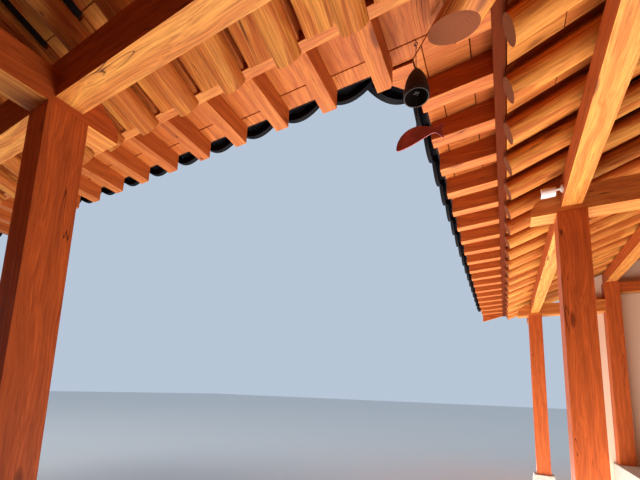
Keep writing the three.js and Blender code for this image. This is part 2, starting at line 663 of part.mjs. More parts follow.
function addWing(side, bays, first, place, ownsCorner) {
  const add = (name, body, look) => addMesh(`${side}_${name}`, place(body), look);
  postLines(bays).forEach((y, i) => {
    const number = i + 1;
    add(`post_${number}`, outerPost(y), 'timber');
    add(`base_stone_${number}`, baseStone(0, y), 'stone');
    add(`inner_post_${number}`, innerPost(GALLERY_DEPTH, y), 'timber');
    add(`tie_beam_${number}`, tieBeam(i === 0 ? -CROSS_BEAM.nose : bays[0], y, i === 0), 'paleTimber');
    add(`cross_beam_${number}`, crossBeam(y), 'paleTimber');
  });
  add('eave_purlin', eavePurlin(bays), 'timber');
  add('inner_beam', innerBeam(bays), 'timber');
  add('outer_wall', outerWall(bays, ownsCorner), 'plaster');
  add('court_rafters', courtRafters(bays, first), 'paleTimber');
  add('back_rafters', backRafters(bays, first), 'paleTimber');
  add('flying_rafters', flyingRafters(bays, first), 'paleTimber');
  add('court_tiles', courtTiles(bays, first), 'tile');
  add('back_tiles', backTiles(bays, first), 'tile');
  add('ridge_cap', ridgeCap(bays), 'tile');
  add('gable_board', gableBoard(bays), 'timber');
}

addMesh('stone_terrace', terrace(), 'stone');
addMesh('corner_base_stone', baseStone(0, 0), 'stone');
addMesh('corner_post', outerPost(0), 'timber');
addMesh('corner_inner_post', innerPost(GALLERY_DEPTH, -GALLERY_DEPTH), 'timber');
addMesh('corner_cross_beam', cornerCrossBeam(), 'paleTimber');
addWing('right', RIGHT_BAYS, FIRST_RIGHT_RAFTER, (body) => body, true);
addWing('left', LEFT_BAYS, FIRST_LEFT_RAFTER, toLeft, false);
addMesh('roof_frame', join([ridgeFrame(RIGHT_BAYS), toLeft(ridgeFrame(LEFT_BAYS)), cornerFrame()]), 'timber');
addMesh('back_frame', backFrame(RIGHT_BAYS).add(toLeft(backFrame(LEFT_BAYS))).subtract(hipRoom()), 'timber');
addMesh('valley_rafter', valleyLog(), 'paleTimber');
addMesh('hip_rafter', hipRafter(), 'timber');
addMesh('hip_cap', hipCap(), 'tile');
addMesh('bell_hook', bellHook(), 'darkMetal');
addMesh('wind_bell', windBell(), 'darkMetal');
addMesh('fish_plate', fishPlate(), 'copper');
addMesh('eave_camera', eaveCamera(), 'whitePlastic');

const centre = new THREE.Box3().setFromObject(building).getCenter(new THREE.Vector3());
building.position.set(-centre.x, -centre.y, 0);

export default group;
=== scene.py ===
"""Finish of the hanok: rafters, boards, tiles, bell and every surface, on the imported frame."""
import math
import random

import bmesh
import bpy
from bpy.props import FloatProperty, FloatVectorProperty, PointerProperty
from mathutils import Matrix, Vector


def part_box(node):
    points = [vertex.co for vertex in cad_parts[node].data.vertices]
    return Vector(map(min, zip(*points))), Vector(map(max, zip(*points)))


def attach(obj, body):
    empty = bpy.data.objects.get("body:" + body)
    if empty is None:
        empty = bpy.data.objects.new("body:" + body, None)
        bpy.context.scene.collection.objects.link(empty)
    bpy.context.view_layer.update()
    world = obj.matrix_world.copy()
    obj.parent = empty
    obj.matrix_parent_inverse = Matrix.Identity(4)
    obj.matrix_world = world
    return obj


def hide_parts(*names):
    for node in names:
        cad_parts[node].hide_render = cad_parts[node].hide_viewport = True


bl_info = {
    "name": "Hanok finish",
    "version": (1, 0, 0),
    "blender": (4, 5, 0),
    "location": "View3D > Sidebar > Hanok",
    "description": "Timber, tiles, plaster and small pieces of a timber house with open galleries",
    "category": "Object",
}

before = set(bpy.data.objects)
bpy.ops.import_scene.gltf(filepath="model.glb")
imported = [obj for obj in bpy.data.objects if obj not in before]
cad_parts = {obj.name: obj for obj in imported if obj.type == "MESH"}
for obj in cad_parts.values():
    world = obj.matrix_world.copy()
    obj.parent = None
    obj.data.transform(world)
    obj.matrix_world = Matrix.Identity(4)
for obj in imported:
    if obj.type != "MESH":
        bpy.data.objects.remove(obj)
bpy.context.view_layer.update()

# The wings' own frame: the corner post stands at x = 0, y = 0, and z is measured from the
# underside of the tie beams. The right wing runs along y, and its court slope falls towards -x.
# The left wing is the right one mirrored across the valley. VALLEY is square to the upright plane
# through valley and hip, and points into the right wing. Lengths are in metres.
post_low, post_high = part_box("corner_post")
CORNER = Vector(((post_low.x + post_high.x) / 2, (post_low.y + post_high.y) / 2, 0))
BEAM_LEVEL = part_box("right_tie_beam_1")[0].z
HOUSE_PLACE = Vector((CORNER.x, CORNER.y, BEAM_LEVEL))
MIRROR = Matrix(((0, -1, 0, 0), (-1, 0, 0, 0), (0, 0, 1, 0), (0, 0, 0, 1)))
VALLEY = Vector((1, 1, 0)).normalized()
WING_END = {
    "right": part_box("right_court_tiles")[1].y - CORNER.y,
    "left": CORNER.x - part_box("left_court_tiles")[0].x,
}

# Roof: the ridge's place, the whole width, and the round rafters' slope and ends
RIDGE = 2.2
ROOF_WIDTH = 4.4
SLOPE = 0.374
SLANT = math.hypot(1, SLOPE)
TIP = -0.397
TIP_UNDERSIDE = 0.082
BACK_TIP = 0.25
FIRST_RAFTER = {"right": 1.355, "left": 0.975}
GABLE_MARGIN = 0.08
COURT_RAFTERS_FROM = -RIDGE + 0.2
BACK_RAFTERS_FROM = BACK_TIP - ROOF_WIDTH + 0.25

# Upper side of the tiles: a line from eave to ridge. SAG gives where it hangs lowest, and by how much
EAVE = -0.905
EAVE_TOP = 0.43
RIDGE_TOP = 1.42
SAG = (0.6, 0.045)
ROLL_OFFSET = 0.08

# Distance from the valley or hip plane at which logs and boards are cut
VALLEY_LOG_GAP = 0.086
HIP_LOG_GAP = 0.062
SEAM = 0.002

# Boards on the round rafters
DECK_LAP = 0.012
DECK_SHADOW_GAP = 0.02
DECK_SINK = 0.006
DECK_JOINT = 0.001
DECK_TIP = TIP - 0.006
BACK_DECK_TIP = BACK_TIP + 0.025

# Square flying rafters, the boards on them and the batten before the round rafters' ends
FLYING_TIP = -0.825
FLYING_FOOT = 0.225
FLYING_HEEL = 0.04
FLYING_SEAT = -0.404
FLYING_SEAT_LIFT = 0.0225
FLYING_HEEL_LIFT = 0.0305
FLYING_PLAY = 0.003
FLYING_FROM = 0.3
BOARDS_TIP = -0.83
BOARDS_HEEL = 0.05
BOARDS_LEVEL = 0.35
BOARDS_RISE = 0.08
FLYING_DECK = 0.024
FIRST_JOINT = (-0.78, -0.68)
DARK_BOARD = -0.56
LAST_JOINT = -0.25
BATTEN = [(-0.462, 0.2355), (-0.405, 0.2355), (-0.405, 0.300), (-0.462, 0.300)]
BATTEN_FROM = -1.4

# Valley log: its tip is cut back, and its axis rises from LOG_TIP_AXIS to lie under the boards
LOG_RADIUS = 0.085
LOG_TIP = -0.705
LOG_TIP_AXIS = 0.165
LOG_CUT = 0.19
LOG_CUT_LIFT = 0.15
LOG_HEADROOM = 0.012
LOG_HEAD = 2.1

# Corner of the eave: a board and a wide tile, each a triangle from edge to point in plan, and the
# tile's lobe, which hangs across the valley from front to back
CORNER_BOARD = {"edge": 0.832, "point": 1.055, "low": 0.334, "high": 0.3495}
CORNER_TILE = {"edge": 0.906, "point": 1.112, "low": 0.376, "high": 0.422}
LOBE = {"half": 0.106, "top": 0.424, "low": 0.385, "drop": 0.060, "front": 1.020, "back": 0.992}

# Tiles: depths under the upper side, and how far behind the slope's edge plates and discs stand
ROLL_SEAT = 0.022
PAN_DEPTH = 0.05
TILE_LAP = 0.014
TILE_THICKNESS = 0.018
GABLE_TILE_DEPTH = 0.03
DISC_MARGIN = 0.003
DISC_ARC = (-16, 196)
DISC_PLACE = (0.001, 0.016)
PLATE_MARGIN = 0.004
PLATE_PLACE = (0.003, 0.03)
PLATE_TOP = (0.024, 0.048)
PLATE_FOOT = (0.045, 0.075)
BACK_TILE_TIP = BACK_TIP - 0.083
BACK_EAVE = BACK_TIP - 0.095
COURT_TILES_FROM = -RIDGE - 0.2
COURT_EAVE_TILES_FROM = 0.95
BACK_EAVE_TILES_FROM = -ROOF_WIDTH + 0.35
BED_FOOT = 0.032
BED_COVER = 0.095
BED_RIDGE_COVER = 0.1
COURT_BED = [(-0.84, 0.380), (BOARDS_HEEL, 0.462)]
BACK_BED_TIP = BACK_TIP - 0.04
BACK_BED_FOOT = BACK_TIP + 0.03

# Ridges: half width and foot of each course, then the foot under them and the round caps
RIDGE_COURSES = [(0.108, 0.0), (0.100, 0.034), (0.092, 0.068), (0.084, 0.102)]
COURSE_SINK = 0.02
COURSE_HEIGHT = 0.03
COURSE_TAPER = 0.004
RIDGE_FOOT = 0.095
RIDGE_FOOT_HALF = (0.08, 0.06)
RIDGE_START = -RIDGE - 0.11
RIDGE_OVERHANG = 0.038
CAP_RADIUS = 0.074
CAP_LENGTH = 0.30
CAP_SEAT = 0.112
CAP_JOINT = 0.002
HIP_COURSES = [(0.083, -0.09), (0.079, 0.036), (0.073, 0.038), (0.071, 0.076)]
HIP_STEP = (0.006, -0.004)
HIP_CAP_RADIUS = 0.068
HIP_CAP_SEAT = 0.078
HIP_PLACES = [RIDGE + 0.1103, ROOF_WIDTH - SAG[0], ROOF_WIDTH - 0.155 - 0.06]

# Wind bell: heights are over the tie beams' underside, and the fish's outline alone is in millimetres
BELL = Vector((-0.795, 0.745, 0)) + HOUSE_PLACE
BELL_INSIDE = [(0.0, 0.174), (0.012, 0.172), (0.026, 0.160), (0.038, 0.142), (0.047, 0.118),
               (0.052, 0.092), (0.057, 0.062), (0.055, 0.038)]
BELL_OUTSIDE = [(0.059, 0.037), (0.0612, 0.042), (0.062, 0.051), (0.0618, 0.065), (0.0608, 0.073),
                (0.0585, 0.078), (0.0562, 0.083), (0.0568, 0.089), (0.0555, 0.098), (0.0535, 0.109),
                (0.0505, 0.121), (0.0466, 0.133), (0.042, 0.144), (0.0367, 0.155), (0.031, 0.165),
                (0.025, 0.1755), (0.018, 0.184), (0.012, 0.189), (0.0115, 0.194), (0.004, 0.198),
                (0.0, 0.198)]
HOOK_LEVEL = 0.338
CROWN_LEVEL = 0.169
WIRE_FOOT = 0.19
RING_DROP = 0.0135
RING_RADIUS = 0.009
RING_WIRE = 0.0018
WIRE = 0.0019
STRIKER_LEVEL = 0.066
STRIKER_REACH = (0.014, 0.0135)
STRIKER_RADIUS = 0.0055
FISH = [(-98, -209), (-96, -190), (-90, -170), (-76, -147), (-58, -131), (-37, -121), (-18, -117.5),
        (0, -117), (20, -121), (38, -128), (60, -139), (79, -147), (100, -146), (124, -141), (121, -160),
        (116, -178), (124, -219), (112, -208), (101, -193), (88, -180), (77, -177), (62, -179),
        (47, -184), (20, -194), (-2, -202), (-22, -208), (-42, -213), (-61, -217), (-78, -219), (-90, -219)]
FISH_HALF = 0.0019
FISH_EYE = -0.135

# Eave camera: radius, start, end and height of each turned part, measured from its mounting face
CAMERA_LEVEL = 0.112
CAMERA_PARTS = [(0.028, 0.0, -0.012, 0.0), (0.020, -0.012, -0.018, 0.0), (0.009, -0.014, -0.052, 0.0),
                (0.0325, -0.046, -0.128, -0.014), (0.034, -0.075, -0.1355, -0.014)]
CAMERA_LENS = (0.026, -0.130, -0.1358, -0.014)

# The photograph's view, from the corner post
VIEW_PLACE = Vector((-0.469, -0.766, -1.379))
VIEW_LENS = 19.54
VIEW_SHIFT = 0.1564
VIEW_YAW = math.radians(28.142)
VIEW_PITCH = math.radians(8.398)
VIEW_ROLL = math.radians(1.945)
FLOOR_REACH = 60.0
FLOOR_LEVEL = -0.002
WARM_LIGHT = (1.0, 0.93, 0.86)


def tone(red, green, blue):
    """A screen colour from 0 to 255 as the linear colour that shaders take."""
    def linear(value):
        value /= 255
        return value / 12.92 if value <= 0.04045 else ((value + 0.055) / 1.055) ** 2.4
    return linear(red), linear(green), linear(blue)


def length(name, default, text):
    return FloatProperty(name=name, description=text, default=default, min=0.001, unit="LENGTH")


def colour(name, default, text):
    return FloatVectorProperty(name=name, description=text, default=default, size=3, min=0, max=1,
                               subtype="COLOR")


class HanokSizes(bpy.types.PropertyGroup):
    rafter: length("Rafter", 0.135, "Diameter of the round rafters")
    spacing: length("Spacing", 0.33, "Distance from rafter to rafter")
    flying_width: length("Flying rafter", 0.088, "Width of the square flying rafters")
    board: length("Board", 0.235, "Width of the boards on the rafters")
    joint: length("Joint", 0.004, "Open joint between two boards")
    deck: length("Deck", 0.028, "Thickness of the boards")
    tile_pitch: length("Tile pitch", 0.33, "Distance from one row of cover tiles to the next")
    tile_length: length("Tile length", 0.26, "Part of each tile that shows along the slope")
    roll: length("Cover tile", 0.072, "Radius of the round cover tiles")
    softening: length("Softened edge", 0.005, "Rounding of the timber edges")


class HanokColours(bpy.types.PropertyGroup):
    timber: colour("Timber", tone(198, 96, 41), "Sides of the posts and beams")
    timber_dark: colour("Dark grain", tone(122, 46, 20), "Late wood, knots and shaded sides")
    # Pale timber: the colour of painted light from below on faces that point down, and of peeled patches.
    timber_pale: colour("Pale timber", tone(240, 172, 84), "Undersides and fresh faces")
    sawn: colour("Sawn ends", tone(122, 66, 38), "Cut ends of rafters and beams")
    tile: colour("Tile", tone(15, 15, 20), "Fired clay tiles")
    plaster: colour("Plaster", tone(222, 178, 138), "Outer walls")
    granite: colour("Granite", tone(196, 188, 176), "Terrace and base stones")
    iron: colour("Iron", tone(30, 24, 24), "Wind bell")
    fish: colour("Fish plate", tone(150, 84, 88), "Fish plate of the bell")


def sizes():
    return bpy.context.scene.hanok_sizes


def colours():
    return bpy.context.scene.hanok_colours


# Shader helpers
def add_node(tree, kind, inputs=None, **settings):
    """Adds a node, sets its properties, and fills its inputs with values or with other nodes' outputs."""
    node = tree.nodes.new(kind)
    for key, value in settings.items():
        setattr(node, key, value)
    for key, value in (inputs or {}).items():
        if isinstance(value, bpy.types.NodeSocket):
            tree.links.new(value, node.inputs[key])
        else:
            node.inputs[key].default_value = value
    return node


def ramp(tree, factor, stops):
    """Grey levels between the stops, each a place and a value."""
    node = add_node(tree, "ShaderNodeValToRGB", {"Fac": factor})
    elements = node.color_ramp.elements
    while len(elements) < len(stops):
        elements.new(0.5)
    for element, (place, value) in zip(elements, stops):
        element.position = place
        element.color = (value, value, value, 1)
    return node.outputs["Color"]


def mix(tree, factor, first, second):
    """The first colour where factor is 0, and the second where it is 1."""
    node = add_node(tree, "ShaderNodeMix", data_type="RGBA")
    for socket, value in (("Factor", factor), ("A", first), ("B", second)):
        target = [s for s in node.inputs if s.name == socket and s.enabled][0]
        if isinstance(value, bpy.types.NodeSocket):
            tree.links.new(value, target)
        elif socket == "Factor":
            target.default_value = value
        else:
            target.default_value = (*value, 1)
    return [s for s in node.outputs if s.enabled][0]


def arith(tree, operation, first, second):
    return add_node(tree, "ShaderNodeMath", {0: first, 1: second}, operation=operation).outputs[0]


def noise(tree, vector, scale, detail, **more):
    inputs = {"Vector": vector, "Scale": scale, "Detail": detail, **more}
    return add_node(tree, "ShaderNodeTexNoise", inputs)


def stretched(tree, vector, scale):
    return add_node(tree, "ShaderNodeMapping", {"Vector": vector, "Scale": scale}).outputs[0]


def piece_shade(tree):
    """The shade that each face of a piece carries."""
    return add_node(tree, "ShaderNodeAttribute", attribute_name="shade").outputs["Fac"]


def new_group(name, inputs, outputs):
    """A shader node group with named sockets; gives the group and its two end nodes."""
    group = bpy.data.node_groups.new(name, "ShaderNodeTree")
    for title, kind in inputs:
        group.interface.new_socket(name=title, in_out="INPUT", socket_type=kind)
    for title in outputs:
        group.interface.new_socket(name=title, in_out="OUTPUT", socket_type="NodeSocketFloat")
    return group, group.nodes.new("NodeGroupInput"), group.nodes.new("NodeGroupOutput")


def timber_grain():
    """Group: fibres, broad figure, knots and drying cracks of sawn timber, with its length along X."""
    name = "timber_grain"
    if name in bpy.data.node_groups:
        return bpy.data.node_groups[name]
    titles = ["Fibre", "Figure", "Knots", "Cracks", "Patches", "Height"]
    group, given, out = new_group(name, [("Vector", "NodeSocketVector")], titles)
    vector = given.outputs["Vector"]
    drift = noise(group, stretched(group, vector, (0.9, 3, 3)), 1.6, 2.0)
    swing = add_node(group, "ShaderNodeVectorMath", {0: drift.outputs["Color"], 1: (0, 0.09, 0.09)},
                     operation="MULTIPLY").outputs[0]
    bent = add_node(group, "ShaderNodeVectorMath", {0: vector, 1: swing}, operation="ADD").outputs[0]
    fibre = noise(group, stretched(group, bent, (1.6, 60, 60)), 2.2, 5.0, Roughness=0.6).outputs["Fac"]
    rings = add_node(group, "ShaderNodeTexWave",
                     {"Vector": stretched(group, bent, (0.25, 8.5, 8.5)), "Scale": 1.0,
                      "Distortion": 5.0, "Detail": 2.0, "Detail Scale": 0.8},
                     wave_type="BANDS", bands_direction="DIAGONAL")
    cells = add_node(group, "ShaderNodeTexVoronoi",
                     {"Vector": stretched(group, vector, (1.7, 5.5, 5.5)), "Scale": 1.0})
    knots = ramp(group, cells.outputs["Distance"], [(0.0, 1.0), (0.07, 0.75), (0.12, 0.0)])
    split = noise(group, stretched(group, bent, (1.0, 26, 26)), 1.0, 1.0)
    line = ramp(group, split.outputs["Fac"], [(0.487, 0.0), (0.5, 1.0), (0.513, 0.0)])
    where = noise(group, stretched(group, vector, (0.9, 7, 7)), 1.3, 1.0)
    cracks = arith(group, "MULTIPLY", line, ramp(group, where.outputs["Fac"], [(0.56, 0.0), (0.64, 1.0)]))
    peeled = noise(group, stretched(group, bent, (1.3, 8, 8)), 1.0, 2.0)
    patches = ramp(group, peeled.outputs["Fac"], [(0.52, 0.0), (0.55, 1.0)])
    height = arith(group, "SUBTRACT", arith(group, "MULTIPLY", fibre, 0.5), cracks)
    for title, value in zip(titles, (fibre, rings.outputs["Fac"], knots, cracks, patches, height)):
        group.links.new(value, out.inputs[title])
    return group


def start_material(name):
    material = bpy.data.materials.new(name)
    material.use_nodes = True
    tree = material.node_tree
    return material, tree, tree.nodes["Principled BSDF"]


def set_surface(tree, shader, colour_socket, roughness, height, depth, **constants):
    """Colour, roughness and relief of a material; constants are set on the shader's own sockets."""
    tree.links.new(colour_socket, shader.inputs["Base Color"])
    if isinstance(roughness, bpy.types.NodeSocket):
        tree.links.new(roughness, shader.inputs["Roughness"])
    else:
        shader.inputs["Roughness"].default_value = roughness
    for key, value in constants.items():
        shader.inputs[key].default_value = value
    bump = add_node(tree, "ShaderNodeBump", {"Strength": 0.6, "Distance": depth, "Height": height})
    tree.links.new(bump.outputs["Normal"], shader.inputs["Normal"])


def object_place(tree, order="XYZ"):
    """The point on the house with its axes reordered, so that the first one runs with the grain."""
    place = add_node(tree, "ShaderNodeTexCoord").outputs["Object"]
    if order == "XYZ":
        return place
    parts = add_node(tree, "ShaderNodeSeparateXYZ", {"Vector": place})
    inputs = {target: parts.outputs[source] for target, source in zip("XYZ", order)}
    return add_node(tree, "ShaderNodeCombineXYZ", inputs).outputs[0]


def toned(tint, factor):
    """A colour made darker or lighter."""
    return tuple(min(1, factor * c) for c in tint)


# Materials
def timber(name, order=None, pale=0.0, dark=0.0, painted_light_below=0.84, patches=0.0):
    """Oiled pine, painted lighter on faces that point down as light from below. order gives the grain's
    axis; without it the piece's own UV map and shade are used.
    """
    if name in bpy.data.materials:
        return bpy.data.materials[name]
    tints = colours()
    material, tree, shader = start_material(name)
    shade = piece_shade(tree)
    if order:
        vector = object_place(tree, order)
    else:
        uv = add_node(tree, "ShaderNodeTexCoord").outputs["UV"]
        flat = add_node(tree, "ShaderNodeSeparateXYZ", {"Vector": uv})
        shifted = arith(tree, "ADD", flat.outputs["X"], arith(tree, "MULTIPLY", shade, 37.0))
        inputs = {"X": shifted, "Y": flat.outputs["Y"], "Z": arith(tree, "MULTIPLY", shade, 11.0)}
        vector = add_node(tree, "ShaderNodeCombineXYZ", inputs).outputs[0]
    grain = add_node(tree, "ShaderNodeGroup", node_tree=timber_grain())
    tree.links.new(vector, grain.inputs["Vector"])
    # Painted light from below: faces that point down go towards the pale timber, from the level pale on
    # other faces to the level given for undersides.
    normal = add_node(tree, "ShaderNodeNewGeometry").outputs["Normal"]
    down = add_node(tree, "ShaderNodeSeparateXYZ", {"Vector": normal}).outputs["Z"]
    under = add_node(tree, "ShaderNodeMapRange", {"Value": down, "From Min": -0.35, "From Max": -0.95,
                                                  "To Min": pale, "To Max": painted_light_below}).outputs[0]
    halfway = tuple(0.5 * a + 0.5 * b for a, b in zip(tints.timber, tints.timber_pale))
    wash = mix(tree, grain.outputs["Figure"], toned(tints.timber, 0.8), tints.timber)
    lit = mix(tree, grain.outputs["Figure"], halfway, tints.timber_pale)
    body = mix(tree, under, wash, lit)
    if patches:
        peeled = arith(tree, "MULTIPLY", grain.outputs["Patches"], patches)
        body = mix(tree, peeled, body, tints.timber_pale)
    warm = mix(tree, arith(tree, "MULTIPLY", shade, 0.55), body, toned(tints.timber, 0.75))
    late_wood = ramp(tree, grain.outputs["Fibre"], [(0.35, 0.55), (0.62, 0.0)])
    lined = mix(tree, late_wood, warm, tints.timber_dark)
    knots = arith(tree, "MULTIPLY", grain.outputs["Knots"], 0.8)
    knotted = mix(tree, knots, lined, toned(tints.timber_dark, 0.55))
    cracked = mix(tree, grain.outputs["Cracks"], knotted, toned(tints.timber_dark, 0.16))
    # Painted shade: dark mixes the whole surface towards the dark grain colour, for pieces that stand in
    # shade.
    if dark:
        cracked = mix(tree, dark, cracked, toned(tints.timber_dark, 0.35))
    roughness = add_node(tree, "ShaderNodeMapRange", {"Value": grain.outputs["Fibre"], "To Min": 0.62,
                                                      "To Max": 0.44}).outputs[0]
    set_surface(tree, shader, cracked, roughness, grain.outputs["Height"], 0.0016,
                **{"Specular IOR Level": 0.2 * (1 - dark)})
    return material


def rafter_timber():
    return timber("rafter_timber", pale=0.42, painted_light_below=0.62, patches=0.8)


def eave_timber():
    return timber("eave_timber", pale=0.15, painted_light_below=0.36)


# Timber of the right batten: a darker copy with painted shade and no painted light underneath.
def batten_timber():
    return timber("batten_timber", dark=0.88, painted_light_below=0.0)


def end_grain():
    """Sawn ends of rafters: rings round the pith."""
    name = "end_grain"
    if name in bpy.data.materials:
        return bpy.data.materials[name]
    tints = colours()
    material, tree, shader = start_material(name)
    place = add_node(tree, "ShaderNodeTexCoord").outputs["UV"]
    rings = add_node(tree, "ShaderNodeTexWave",
                     {"Vector": place, "Scale": 26.0, "Distortion": 2.0, "Detail": 2.0},
                     wave_type="RINGS", rings_direction="Z")
    base = mix(tree, rings.outputs["Fac"], toned(tints.sawn, 0.86), tints.sawn)
    set_surface(tree, shader, base, 0.8, rings.outputs["Fac"], 0.001, **{"Specular IOR Level": 0.15})
    return material


def clay():
    """Dark fired clay, a little different from tile to tile."""
    name = "clay_tile"
    if name in bpy.data.materials:
        return bpy.data.materials[name]
    tint = colours().tile
    pale = toned(tint, 2.0)
    material, tree, shader = start_material(name)
    place = object_place(tree)
    cloud = noise(tree, place, 2.3, 4.0).outputs["Fac"]
    grit = noise(tree, place, 90.0, 3.0).outputs["Fac"]
    shade = piece_shade(tree)
    base = mix(tree, ramp(tree, cloud, [(0.35, 0.0), (0.7, 1.0)]), toned(tint, 0.55), tint)
    base = mix(tree, arith(tree, "MULTIPLY", shade, 0.5), base, pale)
    base = mix(tree, ramp(tree, grit, [(0.5, 0.0), (0.8, 0.5)]), base, pale)
    rough = ramp(tree, cloud, [(0.3, 0.42), (0.7, 0.66)])
    set_surface(tree, shader, base, rough, grit, 0.0012, **{"Specular IOR Level": 0.06})
    return material


def plaster():
    """Trowelled wall, darker towards the ground."""
    name = "plaster"
    if name in bpy.data.materials:
        return bpy.data.materials[name]
    tint = colours().plaster
    material, tree, shader = start_material(name)
    place = object_place(tree)
    cloud = noise(tree, place, 1.1, 6.0).outputs["Fac"]
    trowel = noise(tree, stretched(tree, place, (5, 5, 14)), 2.0, 5.0).outputs["Fac"]
    height = add_node(tree, "ShaderNodeSeparateXYZ", {"Vector": place}).outputs["Z"]
    # Darker towards the bottom of the wall, from 1.1 m down to 0.4 m, in clouds.
    low_darkening = add_node(tree, "ShaderNodeMapRange", {"Value": height, "From Min": 0.4, "From Max": 1.1,
                                                 "To Min": 0.35, "To Max": 0.0}).outputs[0]
    base = mix(tree, cloud, toned(tint, 0.86), tint)
    base = mix(tree, arith(tree, "MULTIPLY", low_darkening, cloud), base, toned(tint, 0.5))
    set_surface(tree, shader, base, 0.9, trowel, 0.003)
    return material


def granite():
    """Pale stone with dark flecks and a picked face."""
    name = "granite"
    if name in bpy.data.materials:
        return bpy.data.materials[name]
    tint = colours().granite
    material, tree, shader = start_material(name)
    place = object_place(tree)
    speck = add_node(tree, "ShaderNodeTexVoronoi", {"Vector": place, "Scale": 160.0})
    cloud = noise(tree, place, 3.0, 6.0).outputs["Fac"]
    picks = noise(tree, place, 38.0, 4.0).outputs["Fac"]
    shade = piece_shade(tree)
    base = mix(tree, cloud, toned(tint, 0.78), tint)
    flecks = ramp(tree, speck.outputs["Color"], [(0.18, 1.0), (0.3, 0.0)])
    base = mix(tree, arith(tree, "MULTIPLY", flecks, 0.6), base, toned(tint, 0.28))
    base = mix(tree, arith(tree, "MULTIPLY", shade, 0.3), base, toned(tint, 0.6))
    set_surface(tree, shader, base, 0.85, picks, 0.004)
    return material


def metal(name, tint, roughness, metallic, scratch=30.0):
    """Blackened or dull metal with worn patches."""
    if name in bpy.data.materials:
        return bpy.data.materials[name]
    material, tree, shader = start_material(name)
    place = object_place(tree)
    cloud = noise(tree, place, scratch, 5.0).outputs["Fac"]
    pits = noise(tree, place, 6 * scratch, 3.0).outputs["Fac"]
    worn = tuple(min(1, 1.9 * c + 0.008) for c in tint)
    base = mix(tree, ramp(tree, cloud, [(0.4, 0.0), (0.7, 1.0)]), tint, worn)
    rough = ramp(tree, cloud, [(0.3, roughness), (0.8, min(1, roughness + 0.25))])
    set_surface(tree, shader, base, rough, pits, 0.0006, Metallic=metallic)
    return material


def plain(name, tint, roughness, **constants):
    """An even surface with a faint grain."""
    if name in bpy.data.materials:
        return bpy.data.materials[name]
    material, tree, shader = start_material(name)
    fine = noise(tree, object_place(tree), 400.0, 2.0).outputs["Fac"]
    base = mix(tree, fine, toned(tint, 0.93), tint)
    set_surface(tree, shader, base, roughness, fine, 0.0002, **constants)
    return material


# Earth under the tiles, coloured near black: partly the earth's own colour, partly painted shade for the
# gaps between the boards.
def tile_bed():
    return plain("tile_bed", tone(34, 17, 13), 0.95)


# Mesh helpers, in the right wing's own frame
def turns_of(sides):
    """Angles all the way round, with the first one again at the end."""
    return [2 * math.pi * k / sides for k in range(sides + 1)]


def half_turn(steps):
    return [math.pi * k / steps for k in range(steps + 1)]


class Shell:
    """Points and faces of one piece, with grain coordinates, a shade and a finish number per face."""

    def __init__(self):
        self.points, self.faces, self.places, self.shades, self.finishes = [], [], [], [], []

    def face(self, points, places, shade=0.0, finish=0):
        first = len(self.points)
        self.points += [Vector(p) for p in points]
        self.faces.append(tuple(range(first, first + len(points))))
        self.places += places
        self.shades.append(shade)
        self.finishes.append(finish)

    def log(self, start, end, radius, sides, shade, tip_radius):
        """A round timber with both sawn ends."""
        start, end = Vector(start), Vector(end)
        along = end - start
        side = along.cross(Vector((0, 0, 1))).normalized()
        lift = side.cross(along).normalized()
        turns = turns_of(sides)
        near = [start + (side * math.cos(t) + lift * math.sin(t)) * tip_radius for t in turns]
        far = [end + (side * math.cos(t) + lift * math.sin(t)) * radius for t in turns]
        run = along.length
        for k in range(sides):
            low, high = radius * turns[k], radius * turns[k + 1]
            self.face([near[k], near[k + 1], far[k + 1], far[k]],
                      [(0, low), (0, high), (run, high), (run, low)], shade)
        cap = [(radius * math.cos(t), radius * math.sin(t)) for t in turns[:-1]]
        self.face(near[:-1][::-1], cap[::-1], shade, 1)
        self.face(far[:-1], cap, shade, 1)

    def prism(self, outline, low, high, shade=0.0, end_finish=0):
        """An outline in x and z, anticlockwise seen from -y, carried along y from low to high."""
        count = len(outline)
        reach = [0.0]
        for k in range(count):
            a, b = outline[k], outline[(k + 1) % count]
            reach.append(reach[-1] + math.hypot(b[0] - a[0], b[1] - a[1]))
        for k in range(count):
            a, b = outline[k], outline[(k + 1) % count]
            start, end = reach[k], reach[k + 1]
            self.face([(a[0], high, a[1]), (b[0], high, b[1]), (b[0], low, b[1]), (a[0], low, a[1])],
                      [(start, high), (end, high), (end, low), (start, low)], shade)
        self.face([(x, low, z) for x, z in outline], list(outline), shade, end_finish)
        self.face([(x, high, z) for x, z in outline[::-1]], list(outline[::-1]), shade, end_finish)

    def long_prism(self, outline, low, high, shade=0.0):
        """As prism, with the grain along y."""
        first = len(self.places)
        self.prism(outline, low, high, shade, 1)
        self.places[first:] = [(b, a) for a, b in self.places[first:]]

    def plate(self, outline, near, far, shade=0.0):
        """An outline in y and z, carried along x from near to far."""
        count = len(outline)
        for k in range(count):
            a, b = outline[k], outline[(k + 1) % count]
            self.face([(near, *a), (near, *b), (far, *b), (far, *a)], [a, b, b, a], shade)
        self.face([(near, *p) for p in reversed(outline)], list(reversed(outline)), shade)
        self.face([(far, *p) for p in outline], list(outline), shade)

    def between(self, first, last, shade):
        """The body between two like outlines."""
        for k in range(len(first)):
            j = (k + 1) % len(first)
            ring = [first[k], first[j], last[j], last[k]]
            self.face(ring, [(p[0], p[1] + p[2]) for p in ring], shade)
        for outline in (first, last):
            self.face(outline, [(p[0], p[1]) for p in outline], shade)


